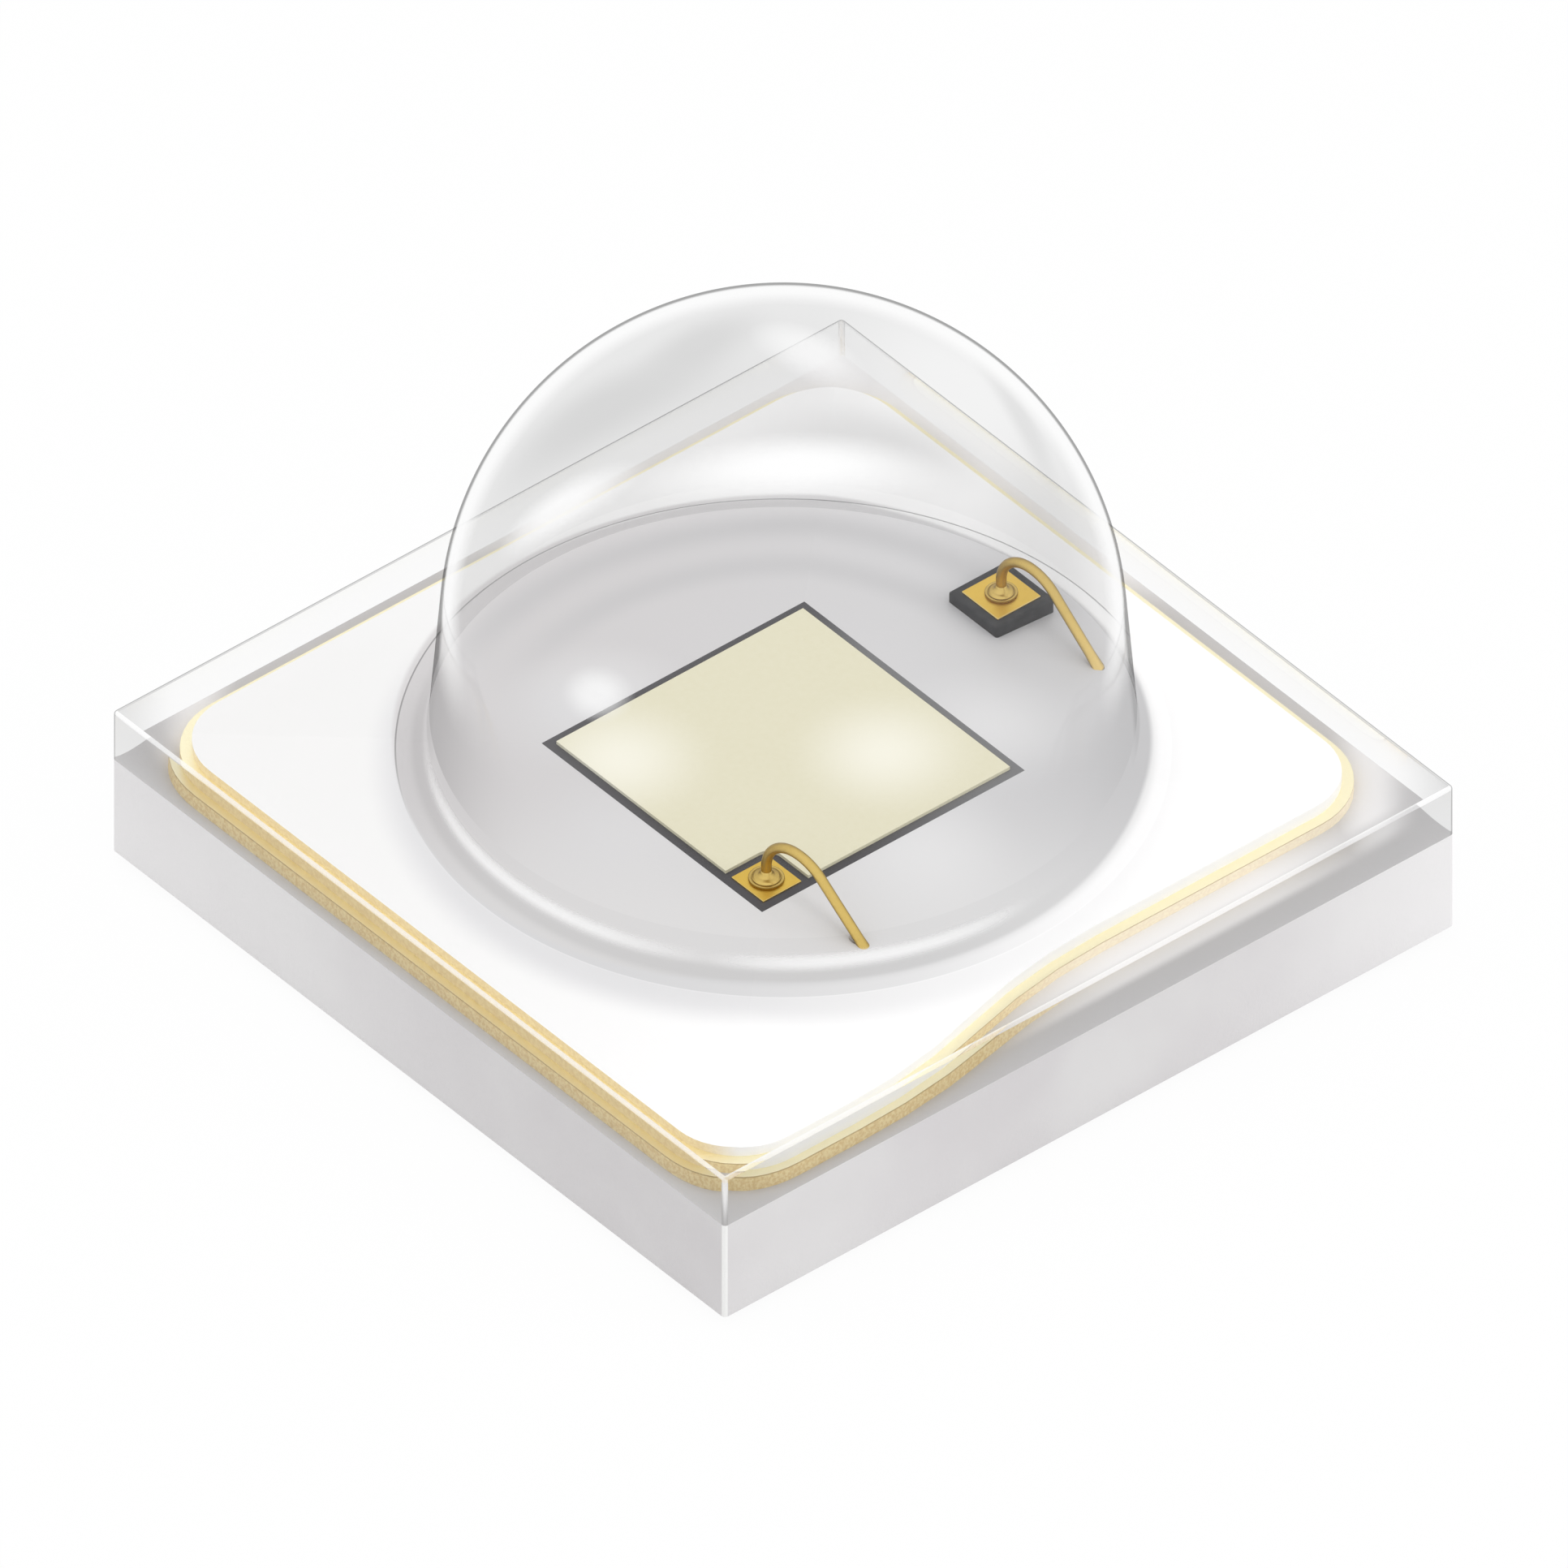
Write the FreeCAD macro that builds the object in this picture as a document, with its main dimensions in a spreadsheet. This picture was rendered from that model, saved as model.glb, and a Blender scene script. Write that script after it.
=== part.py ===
"""Surface-mount light-emitting diode, 3 mm square, with a clear domed lens.

A white ceramic carrier holds a gold ring, two conductors, a square chip with its phosphor
plate, and a protection diode. White silicone fills the ring up to the chip's top edge, and
a clear silicone overmould forms the slab and the dome. The origin lies at the centre of the
underside, where the solder pads rest. +Z points up through the dome, and both bond wires
run towards -Y.
"""
import FreeCAD, Part
import math
import os
import Sketcher

# Driving sizes in millimetres, slopes as plain ratios and angles in degrees.
SIZES = (
    ("package_length", 3.0, "carrier and lens along X"),
    ("package_width", 3.0, "carrier and lens along Y"),
    ("edge_rounding", 0.015, "upright edges of the carrier and the slab"),
    ("rim_chamfer", 0.012, "upper edges of the slab"),
    ("ceramic_thickness", 0.375, "carrier plate"),
    ("solder_thickness", 0.03, "underside pads"),
    ("electrode_width", 0.45, "cathode and anode pad along X"),
    ("electrode_length", 2.6, "all underside pads along Y"),
    ("thermal_width", 1.4, "middle pad along X"),
    ("solder_gap", 0.2, "between the middle pad and its neighbours"),
    ("solder_rounding", 0.04, "corners of the underside pads"),
    ("polarity_chamfer", 0.16, "corner of the cathode pad"),
    ("via_diameter", 0.16, "filled holes through the carrier"),
    ("via_inset", 0.16, "from the end of a conductor to its hole"),
    ("anode_via_y", 0.75, "hole under the chip's conductor"),
    ("metal_thickness", 0.05, "ring and conductors"),
    ("frame_margin", 0.07, "from the carrier's edge to the ring"),
    ("frame_width", 0.13, "ring"),
    ("frame_corner_radius", 0.28, "outer corners of the ring"),
    ("frame_step_start", 0.6, "from the carrier's -X edge to the step"),
    ("frame_step_run", 1.15, "length of the step along X"),
    ("frame_step_depth", 0.16, "how far the ring steps in"),
    ("rim_exposed", 0.038, "part of the ring's top that the fill leaves bare"),
    ("conductor_clearance", 0.08, "between the ring and the conductors"),
    ("conductor_gap", 0.1, "between the two conductors"),
    ("conductor_rounding", 0.06, "corners of the conductors"),
    ("die_border", 0.07, "conductor round the chip"),
    ("split_y", -0.05, "middle of the gap beside the chip"),
    ("roof_slope", 0.08, "fall of the white fill"),
    ("attach_thickness", 0.01, "layer under the chip and the diode"),
    ("die_size", 1.08, "chip, square"),
    ("die_thickness", 0.1, "chip"),
    ("die_rim", 0.033, "bare edge round the phosphor plate"),
    ("converter_thickness", 0.012, "phosphor plate"),
    ("notch_strip", 0.028, "bare strip round the chip's bond pad"),
    ("notch_rounding", 0.05, "inner corner of the cut-out"),
    ("bond_pad_size", 0.157, "bond pad on the chip, square"),
    ("bond_pad_thickness", 0.005, "both bond pads"),
    ("diode_x", 1.029, "centre of the diode"),
    ("diode_y", 0.158, "centre of the diode"),
    ("diode_size", 0.238, "diode, square"),
    ("diode_thickness", 0.11, "diode"),
    ("diode_chamfer", 0.01, "edges of the diode"),
    ("diode_pad_size", 0.178, "bond pad on the diode, square"),
    ("wire_diameter", 0.034, "both bond wires"),
    ("ball_height", 0.016, "flat disc of a ball bond"),
    ("collar_diameter", 0.05, "foot of the wire on the disc"),
    ("collar_height", 0.012, "cone from the disc to the wire"),
    ("stitch_length", 0.09, "flattened end of a wire"),
    ("stitch_width", 0.05, "flattened end of a wire"),
    ("stitch_thickness", 0.01, "flattened end of a wire"),
    ("wire_turn_angle", 6.5, "angle of the wires from -Y towards +X"),
    ("wire_rise", 0.047, "straight start of both wires"),
    ("wire_bend", 0.13, "radius of the loop"),
    ("wire_slope_angle", 45.0, "fall of the straight end"),
    ("chip_ball_diameter", 0.116, "ball bond on the chip"),
    ("diode_ball_diameter", 0.106, "ball bond on the diode"),
    ("slab_thickness", 0.195, "clear slab over the carrier"),
    ("dome_radius", 1.084, "sphere of the dome"),
    ("dome_centre_height", 0.5, "centre of the sphere above the slab"),
    ("skirt_flare_angle", 4.5, "slope of the skirt under the sphere"),
    ("foot_fillet", 0.1, "from the skirt to the slab"),
)

# Levels above the underside.
CERAMIC_TOP = "(sizes.solder_thickness + sizes.ceramic_thickness)"
METAL_TOP = f"({CERAMIC_TOP} + sizes.metal_thickness)"
ATTACH_TOP = f"({METAL_TOP} + sizes.attach_thickness)"
DIE_TOP = f"({ATTACH_TOP} + sizes.die_thickness)"
DIODE_TOP = f"({ATTACH_TOP} + sizes.diode_thickness)"
SLAB_TOP = f"({CERAMIC_TOP} + sizes.slab_thickness)"

# Places in plan, from the middle of the carrier.
RING_X = "(sizes.package_length / 2 - sizes.frame_margin)"
RING_Y = "(sizes.package_width / 2 - sizes.frame_margin)"
STEP_X = "(sizes.frame_step_start - sizes.package_length / 2)"
CONDUCTOR_X = f"({RING_X} - sizes.frame_width - sizes.conductor_clearance)"
CONDUCTOR_Y = f"({RING_Y} - sizes.frame_width - sizes.conductor_clearance)"
WIRE_PAD_Y = f"({CONDUCTOR_Y} - sizes.frame_step_depth)"
DIE_PAD_REACH = "(sizes.die_size / 2 + sizes.die_border)"
WIRE_PAD_REACH = f"({DIE_PAD_REACH} + sizes.conductor_gap)"
ELECTRODE_X = "(sizes.thermal_width / 2 + sizes.solder_gap + sizes.electrode_width / 2)"
VIA_X = f"({CONDUCTOR_X} - sizes.via_inset)"
BOND_PAD_INSET = "(sizes.die_size / 2 - sizes.die_rim - sizes.bond_pad_size / 2)"


def make_sheet(doc):
    """Spreadsheet with one named cell for each driving size."""
    sheet = doc.addObject("Spreadsheet::Sheet", "sizes")
    for row, (alias, value, note) in enumerate(SIZES, start=1):
        sheet.set(f"A{row}", note)
        sheet.set(f"B{row}", str(value))
        sheet.setAlias(f"B{row}", alias)
    doc.recompute()
    return sheet


def place(item, x_place="0", y_place="0", z_place="0"):
    """Bind an item's position to the sheet."""
    item.setExpression(".Placement.Base.x", x_place)
    item.setExpression(".Placement.Base.y", y_place)
    item.setExpression(".Placement.Base.z", z_place)


def make_body(doc, label):
    """Empty body that carries a piece's name."""
    body = doc.addObject("PartDesign::Body", label)
    body.Label = label
    return body


def origin_sketch(body, name, role="XY_Plane"):
    """Sketch on one of the body's own origin planes."""
    plane = next(item for item in body.Origin.OriginFeatures if item.Role == role)
    sketch = body.newObject("Sketcher::SketchObject", name)
    sketch.AttachmentSupport = [(plane, "")]
    sketch.MapMode = "FlatFace"
    return sketch


def bind(sketch, constraint, name, expression):
    """Add a named constraint to a sketch and bind it to the sheet."""
    index = sketch.addConstraint(constraint)
    sketch.renameConstraint(index, name)
    sketch.setExpression(f"Constraints.{name}", expression)


def pin_point(sketch, geometry, end, name, x_place, y_place):
    """Hold one end of a line at a place that the sheet gives."""
    value = float(sketch.evalExpression(x_place))
    bind(sketch, Sketcher.Constraint("DistanceX", -1, 1, geometry, end, value), f"{name}_x", x_place)
    value = float(sketch.evalExpression(y_place))
    bind(sketch, Sketcher.Constraint("DistanceY", -1, 1, geometry, end, value), f"{name}_y", y_place)


def draw_polygon(sketch, corners):
    """Closed outline of straight lines, its corners given as pairs of expressions."""
    points = [
        FreeCAD.Vector(float(sketch.evalExpression(x_place)), float(sketch.evalExpression(y_place)), 0)
        for x_place, y_place in corners
    ]
    count = len(points)
    for index in range(count):
        sketch.addGeometry(Part.LineSegment(points[index], points[(index + 1) % count]), False)
    for index in range(count):
        sketch.addConstraint(Sketcher.Constraint("Coincident", index, 2, (index + 1) % count, 1))
    for index, (x_place, y_place) in enumerate(corners):
        pin_point(sketch, index, 1, f"corner_{index}", x_place, y_place)


def draw_rectangle(sketch, length, width):
    """Rectangle about the sketch's origin."""
    half_x = f"({length}) / 2"
    half_y = f"({width}) / 2"
    draw_polygon(
        sketch,
        [
            (f"-{half_x}", f"-{half_y}"),
            (half_x, f"-{half_y}"),
            (half_x, half_y),
            (f"-{half_x}", half_y),
        ],
    )


def draw_circle(sketch, diameter):
    """Circle about the sketch's origin."""
    radius = float(sketch.evalExpression(diameter)) / 2
    circle = Part.Circle(FreeCAD.Vector(0, 0, 0), FreeCAD.Vector(0, 0, 1), radius)
    sketch.addGeometry(circle, False)
    sketch.addConstraint(Sketcher.Constraint("Coincident", 0, 3, -1, 1))
    bind(sketch, Sketcher.Constraint("Diameter", 0, 2 * radius), "diameter", diameter)


def pad(body, sketch, name, height):
    """Raise a closed sketch to a height."""
    feature = body.newObject("PartDesign::Pad", name)
    feature.Profile = sketch
    feature.setExpression("Length", height)
    return feature


def edge_names(shape, test):
    """Names of the edges that pass a test."""
    return [f"Edge{index}" for index, edge in enumerate(shape.Edges, start=1) if test(edge)]


def is_vertical(edge):
    """True for a straight edge along Z."""
    first, last = edge.firstVertex().Point, edge.lastVertex().Point
    level = math.hypot(last.x - first.x, last.y - first.y)
    return level < 1e-6 < abs(last.z - first.z)


def lies_at(height):
    """Test for an edge that lies level at a height."""
    return lambda edge: all(abs(vertex.Z - height) < 1e-6 for vertex in edge.Vertexes)


def is_round_at(edge, height):
    """True for a level circle about Z at a height."""
    if edge.Degenerated or not isinstance(edge.Curve, Part.Circle):
        return False
    centre = edge.Curve.Center
    return math.hypot(centre.x, centre.y) < 1e-6 and abs(centre.z - height) < 1e-6


def dress_edges(body, base, kind, name, size_name, size, test):
    """Fillet or chamfer the edges of the last feature that pass a test."""
    base.Document.recompute()
    feature = body.newObject(f"PartDesign::{kind}", name)
    feature.Base = (base, edge_names(base.Shape, test))
    feature.setExpression(size_name, size)
    return feature


def make_block(doc, label, length, width, height):
    """Plain rectangular body, centred on its own origin and standing on it."""
    body = make_body(doc, label)
    sketch = origin_sketch(body, f"{label}_outline")
    draw_rectangle(sketch, length, width)
    feature = pad(body, sketch, f"{label}_pad", height)
    return body, feature


def make_carrier_blank(doc):
    """Ceramic plate before its holes, with the small rounding of its diced edges."""
    body, block = make_block(
        doc, "ceramic_blank", "sizes.package_length", "sizes.package_width", "sizes.ceramic_thickness"
    )
    dress_edges(
        body, block, "Fillet", "ceramic_corners", "Radius", "sizes.edge_rounding", is_vertical
    )
    place(body, z_place="sizes.solder_thickness")
    return body


def make_via(doc, label, x_place, y_place):
    """Filled hole through the carrier, from a solder pad to a conductor."""
    via = doc.addObject("Part::Cylinder", label)
    via.Label = label
    via.setExpression("Radius", "sizes.via_diameter / 2")
    via.setExpression("Height", "sizes.ceramic_thickness")
    place(via, x_place, y_place, "sizes.solder_thickness")
    return via


def make_solder_pad(doc, label, width, x_place):
    """Flat pad on the underside, with rounded corners."""
    body, block = make_block(doc, label, width, "sizes.electrode_length", "sizes.solder_thickness")
    dress_edges(
        body, block, "Fillet", f"{label}_corners", "Radius", "sizes.solder_rounding", is_vertical
    )
    place(body, x_place)
    return body


def make_cathode_pad(doc):
    """Underside pad on the -X side, its outer -Y corner cut off to show the polarity."""
    label = "cathode_solder_pad"
    body, block = make_block(
        doc, label, "sizes.electrode_width", "sizes.electrode_length", "sizes.solder_thickness"
    )

    def is_marked(edge):
        middle = edge.CenterOfMass
        return is_vertical(edge) and middle.x < 0 and middle.y < 0

    marked = dress_edges(
        body, block, "Chamfer", f"{label}_mark", "Size", "sizes.polarity_chamfer", is_marked
    )
    half_x = float(block.evalExpression("sizes.electrode_width / 2"))
    half_y = float(block.evalExpression("sizes.electrode_length / 2"))

    def is_plain_corner(edge):
        middle = edge.CenterOfMass
        return (
            is_vertical(edge)
            and abs(abs(middle.x) - half_x) < 1e-6
            and abs(abs(middle.y) - half_y) < 1e-6
        )

    dress_edges(
        body, marked, "Fillet", f"{label}_corners", "Radius", "sizes.solder_rounding", is_plain_corner
    )
    place(body, f"-{ELECTRODE_X}")
    return body


def draw_ring_outline(doc):
    """Outer outline of the ring: rounded corners, and a step of two equal arcs on the -Y side."""
    sketch = doc.addObject("Sketcher::SketchObject", "ring_outline")
    reach_x = float(sketch.evalExpression(RING_X))
    reach_y = float(sketch.evalExpression(RING_Y))
    corner = float(sketch.evalExpression("sizes.frame_corner_radius"))
    start = float(sketch.evalExpression(STEP_X))
    run = float(sketch.evalExpression("sizes.frame_step_run"))
    depth = float(sketch.evalExpression("sizes.frame_step_depth"))
    sweep = (run ** 2 + depth ** 2) / (4 * depth)
    half_turn = 2 * math.atan2(depth, run)
    low = -reach_y
    shelf = low + depth
    quarter = math.pi / 2

    def arc(centre_x, centre_y, radius, first, last):
        circle = Part.Circle(FreeCAD.Vector(centre_x, centre_y, 0), FreeCAD.Vector(0, 0, 1), radius)
        return Part.ArcOfCircle(circle, first, last)

    def line(first_x, first_y, last_x, last_y):
        return Part.LineSegment(
            FreeCAD.Vector(first_x, first_y, 0), FreeCAD.Vector(last_x, last_y, 0)
        )

    inner_x = reach_x - corner
    inner_y = reach_y - corner
    front, climb, settle, ledge, right, back, left = range(7)
    corners = (7, 8, 9, 10)
    sketch.addGeometry(
        [
            line(-inner_x, low, start, low),
            arc(start, low + sweep, sweep, -quarter, half_turn - quarter),
            arc(start + run, shelf - sweep, sweep, quarter, quarter + half_turn),
            line(start + run, shelf, inner_x, shelf),
            line(reach_x, shelf + corner, reach_x, inner_y),
            line(inner_x, reach_y, -inner_x, reach_y),
            line(-reach_x, inner_y, -reach_x, low + corner),
            arc(inner_x, shelf + corner, corner, -quarter, 0),
            arc(inner_x, inner_y, corner, 0, quarter),
            arc(-inner_x, inner_y, corner, quarter, 2 * quarter),
            arc(-inner_x, low + corner, corner, 2 * quarter, 3 * quarter),
        ],
        False,
    )
    for first, first_end, second, second_end in (
        (front, 2, climb, 1),
        (climb, 2, settle, 2),
        (settle, 1, ledge, 1),
        (ledge, 2, corners[0], 1),
        (corners[0], 2, right, 1),
        (right, 2, corners[1], 1),
        (corners[1], 2, back, 1),
        (back, 2, corners[2], 1),
        (corners[2], 2, left, 1),
        (left, 2, corners[3], 1),
        (corners[3], 2, front, 1),
    ):
        sketch.addConstraint(Sketcher.Constraint("Tangent", first, first_end, second, second_end))
    for level in (front, ledge, back):
        sketch.addConstraint(Sketcher.Constraint("Horizontal", level))
    for upright in (right, left):
        sketch.addConstraint(Sketcher.Constraint("Vertical", upright))
    sketch.addConstraint(Sketcher.Constraint("Equal", climb, settle))
    for number, geometry in enumerate(corners):
        bind(
            sketch,
            Sketcher.Constraint("Radius", geometry, corner),
            f"corner_{number}",
            "sizes.frame_corner_radius",
        )
    step_end = f"{STEP_X} + sizes.frame_step_run"
    shelf_y = f"-{RING_Y} + sizes.frame_step_depth"
    pin_point(sketch, climb, 1, "step_start", STEP_X, f"-{RING_Y}")
    pin_point(sketch, ledge, 1, "step_end", step_end, shelf_y)
    bind(sketch, Sketcher.Constraint("DistanceX", -1, 1, right, 1, reach_x), "right_side", RING_X)
    bind(sketch, Sketcher.Constraint("DistanceX", -1, 1, left, 1, -reach_x), "left_side", f"-{RING_X}")
    bind(sketch, Sketcher.Constraint("DistanceY", -1, 1, back, 1, reach_y), "back_side", RING_Y)
    place(sketch, z_place=CERAMIC_TOP)
    return sketch


def make_prism(doc, outline, label, height, inset=None):
    """Upright block over the ring's outline, or over that outline moved inwards."""
    profile = outline
    if inset:
        profile = doc.addObject("Part::Offset2D", f"{label}_outline")
        profile.Source = outline
        profile.setExpression("Value", f"-{inset}")
    prism = doc.addObject("Part::Extrusion", label)
    prism.Base = profile
    prism.DirMode = "Custom"
    prism.Dir = FreeCAD.Vector(0, 0, 1)
    prism.Solid = True
    prism.setExpression("LengthFwd", height)
    return prism


def cut(doc, label, base, tool):
    """Take one shape away from another."""
    result = doc.addObject("Part::Cut", label)
    result.Base = base
    result.Tool = tool
    result.Label = label
    return result


def fuse(doc, label, items):
    """Join several shapes into one, for use as a tool."""
    result = doc.addObject("Part::MultiFuse", label)
    result.Shapes = items
    return result


def make_ring(doc, outline):
    """Gold ring that holds the white fill."""
    outside = make_prism(doc, outline, "ring_outside", "sizes.metal_thickness")
    window = make_prism(doc, outline, "ring_window", "sizes.metal_thickness", "sizes.frame_width")
    return cut(doc, "reflector_frame", outside, window)


def make_conductor(doc, label, corners):
    """Flat conductor on the carrier, inside the ring."""
    body = make_body(doc, label)
    sketch = origin_sketch(body, f"{label}_outline")
    draw_polygon(sketch, corners)
    plate = pad(body, sketch, f"{label}_plate", "sizes.metal_thickness")
    dress_edges(
        body, plate, "Fillet", f"{label}_corners", "Radius", "sizes.conductor_rounding", is_vertical
    )
    place(body, z_place=CERAMIC_TOP)
    return body


def make_die_pad(doc):
    """Conductor under the chip and the diode."""
    below_die = f"-{DIE_PAD_REACH}"
    beside_die = "sizes.split_y + sizes.conductor_gap / 2"
    return make_conductor(
        doc,
        "die_pad",
        [
            (f"-{CONDUCTOR_X}", below_die),
            (DIE_PAD_REACH, below_die),
            (DIE_PAD_REACH, beside_die),
            (CONDUCTOR_X, beside_die),
            (CONDUCTOR_X, CONDUCTOR_Y),
            (f"-{CONDUCTOR_X}", CONDUCTOR_Y),
        ],
    )


def make_wire_pad(doc):
    """Conductor that both wires land on, an L round the chip's conductor."""
    below_die = f"-{WIRE_PAD_REACH}"
    beside_die = "sizes.split_y - sizes.conductor_gap / 2"
    return make_conductor(
        doc,
        "wire_pad",
        [
            (f"-{CONDUCTOR_X}", f"-{WIRE_PAD_Y}"),
            (CONDUCTOR_X, f"-{WIRE_PAD_Y}"),
            (CONDUCTOR_X, beside_die),
            (WIRE_PAD_REACH, beside_die),
            (WIRE_PAD_REACH, below_die),
            (f"-{CONDUCTOR_X}", below_die),
        ],
    )


def make_die(doc):
    """Chip and the solder layer that holds it."""
    attach, _ = make_block(
        doc, "die_attach", "sizes.die_size", "sizes.die_size", "sizes.attach_thickness"
    )
    place(attach, z_place=METAL_TOP)
    die, _ = make_block(doc, "led_die", "sizes.die_size", "sizes.die_size", "sizes.die_thickness")
    place(die, z_place=ATTACH_TOP)
    return attach, die


def make_converter(doc):
    """Phosphor plate, cut out at the -X -Y corner for the bond pad."""
    half = "(sizes.die_size / 2 - sizes.die_rim)"
    notch = f"({half} - sizes.bond_pad_size - sizes.notch_strip)"
    body = make_body(doc, "converter_plate")
    sketch = origin_sketch(body, "converter_outline")
    draw_polygon(
        sketch,
        [
            (f"-{notch}", f"-{half}"),
            (half, f"-{half}"),
            (half, half),
            (f"-{half}", half),
            (f"-{half}", f"-{notch}"),
            (f"-{notch}", f"-{notch}"),
        ],
    )
    plate = pad(body, sketch, "converter_pad", "sizes.converter_thickness")
    inner = -float(sketch.evalExpression(notch))

    def is_inner_corner(edge):
        middle = edge.CenterOfMass
        return is_vertical(edge) and max(abs(middle.x - inner), abs(middle.y - inner)) < 1e-6

    dress_edges(
        body, plate, "Fillet", "converter_notch", "Radius", "sizes.notch_rounding", is_inner_corner
    )
    place(body, z_place=DIE_TOP)
    return body


def make_diode(doc):
    """Protection diode with broken edges, and the layer that holds it."""
    attach, _ = make_block(
        doc, "diode_attach", "sizes.diode_size", "sizes.diode_size", "sizes.attach_thickness"
    )
    place(attach, "sizes.diode_x", "sizes.diode_y", METAL_TOP)
    diode, block = make_block(
        doc, "esd_diode", "sizes.diode_size", "sizes.diode_size", "sizes.diode_thickness"
    )
    top = float(block.evalExpression("sizes.diode_thickness"))
    at_top = lies_at(top)
    dress_edges(
        diode,
        block,
        "Chamfer",
        "diode_edges",
        "Size",
        "sizes.diode_chamfer",
        lambda edge: is_vertical(edge) or at_top(edge),
    )
    place(diode, "sizes.diode_x", "sizes.diode_y", ATTACH_TOP)
    return attach, diode


def make_bond_pad(doc, label, size, x_place, y_place, z_place):
    """Thin gold square under a ball bond."""
    body, _ = make_block(doc, label, size, size, "sizes.bond_pad_thickness")
    place(body, x_place, y_place, z_place)
    return body


def draw_wire_path(sketch, landing):
    """Path in the X-Z plane: straight up, one arc over the top, and a straight slope down."""
    rise = float(sketch.evalExpression("sizes.wire_rise"))
    bend = float(sketch.evalExpression("sizes.wire_bend"))
    fall = math.radians(float(sketch.evalExpression("sizes.wire_slope_angle")))
    bottom = float(sketch.evalExpression(landing))
    slope_x = bend + bend * math.sin(fall)
    slope_y = rise + bend * math.cos(fall)
    end_x = slope_x + (slope_y - bottom) / math.tan(fall)
    circle = Part.Circle(FreeCAD.Vector(bend, rise, 0), FreeCAD.Vector(0, 0, 1), bend)
    stem, loop, slope = range(3)
    sketch.addGeometry(
        [
            Part.LineSegment(FreeCAD.Vector(0, 0, 0), FreeCAD.Vector(0, rise, 0)),
            Part.ArcOfCircle(circle, math.pi / 2 - fall, math.pi),
            Part.LineSegment(FreeCAD.Vector(slope_x, slope_y, 0), FreeCAD.Vector(end_x, bottom, 0)),
        ],
        False,
    )
    sketch.addConstraint(Sketcher.Constraint("Coincident", stem, 1, -1, 1))
    sketch.addConstraint(Sketcher.Constraint("Vertical", stem))
    sketch.addConstraint(Sketcher.Constraint("Tangent", stem, 2, loop, 2))
    sketch.addConstraint(Sketcher.Constraint("Tangent", loop, 1, slope, 1))
    bind(sketch, Sketcher.Constraint("DistanceY", stem, 1, stem, 2, rise), "rise", "sizes.wire_rise")
    bind(sketch, Sketcher.Constraint("Radius", loop, bend), "bend", "sizes.wire_bend")
    bind(sketch, Sketcher.Constraint("DistanceY", -1, 1, slope, 2, bottom), "landing", landing)
    bind(sketch, Sketcher.Constraint("Angle", slope, -fall), "slope", "-sizes.wire_slope_angle * 1 deg")


def landing_expression(drop):
    """Where the wire's middle line meets the conductor, along the wire's own X."""
    slope = "(sizes.wire_slope_angle * 1 deg)"
    fall = f"(sizes.wire_rise + sizes.wire_bend * cos({slope}) + {drop})"
    return f"sizes.wire_bend * (1 + sin({slope})) + {fall} / tan({slope})"


def make_bond_wire(doc, label, ball_diameter, x_place, y_place, z_place):
    """Gold wire: ball bond, loop and stitch, built in its own X-Z plane from the ball's base."""
    drop = f"({z_place} - {METAL_TOP})"
    body = make_body(doc, label)
    ball = origin_sketch(body, f"{label}_ball", "XZ_Plane")
    ball_radius = f"{ball_diameter} / 2"
    collar_top = "sizes.ball_height + sizes.collar_height"
    draw_polygon(
        ball,
        [
            ("0", "0"),
            (ball_radius, "0"),
            (ball_radius, "sizes.ball_height"),
            ("sizes.collar_diameter / 2", "sizes.ball_height"),
            ("sizes.wire_diameter / 2", collar_top),
            ("0", collar_top),
        ],
    )
    disc = body.newObject("PartDesign::Revolution", f"{label}_disc")
    disc.Profile = ball
    disc.ReferenceAxis = (ball, ["V_Axis"])
    disc.Angle = 360
    doc.recompute()
    path = origin_sketch(body, f"{label}_path", "XZ_Plane")
    draw_wire_path(path, f"-({drop} + sizes.wire_diameter)")
    section = origin_sketch(body, f"{label}_section")
    draw_circle(section, "sizes.wire_diameter")
    loop = body.newObject("PartDesign::AdditivePipe", f"{label}_loop")
    loop.Profile = section
    loop.Spine = path
    doc.recompute()
    below = origin_sketch(body, f"{label}_below")
    below.setExpression(".AttachmentOffset.Base.z", f"-{drop}")
    draw_rectangle(below, "4 * sizes.package_length", "4 * sizes.package_length")
    trim = body.newObject("PartDesign::Pocket", f"{label}_trim")
    trim.Profile = below
    trim.Type = "ThroughAll"
    doc.recompute()
    if not trim.Shape.Volume < loop.Shape.Volume:
        raise RuntimeError(f"{label}: the end of the wire was not trimmed")
    landing = landing_expression(drop)
    stitch = origin_sketch(body, f"{label}_stitch")
    stitch.setExpression(".AttachmentOffset.Base.z", f"-{drop}")
    half_width = "sizes.stitch_width / 2"
    draw_polygon(
        stitch,
        [
            (f"{landing} - sizes.wire_diameter / 2", f"-{half_width} / 2"),
            (f"{landing} + sizes.stitch_length / 2", f"-{half_width}"),
            (f"{landing} + sizes.stitch_length / 2", half_width),
            (f"{landing} - sizes.wire_diameter / 2", f"{half_width} / 2"),
        ],
    )
    pad(body, stitch, f"{label}_foot", "sizes.stitch_thickness")
    body.setExpression(".Placement.Rotation.Angle", "(sizes.wire_turn_angle - 90) * 1 deg")
    body.setExpression(".Placement.Rotation.Axis.x", "0")
    body.setExpression(".Placement.Rotation.Axis.y", "0")
    body.setExpression(".Placement.Rotation.Axis.z", "1")
    place(body, x_place, y_place, z_place)
    return body


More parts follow.
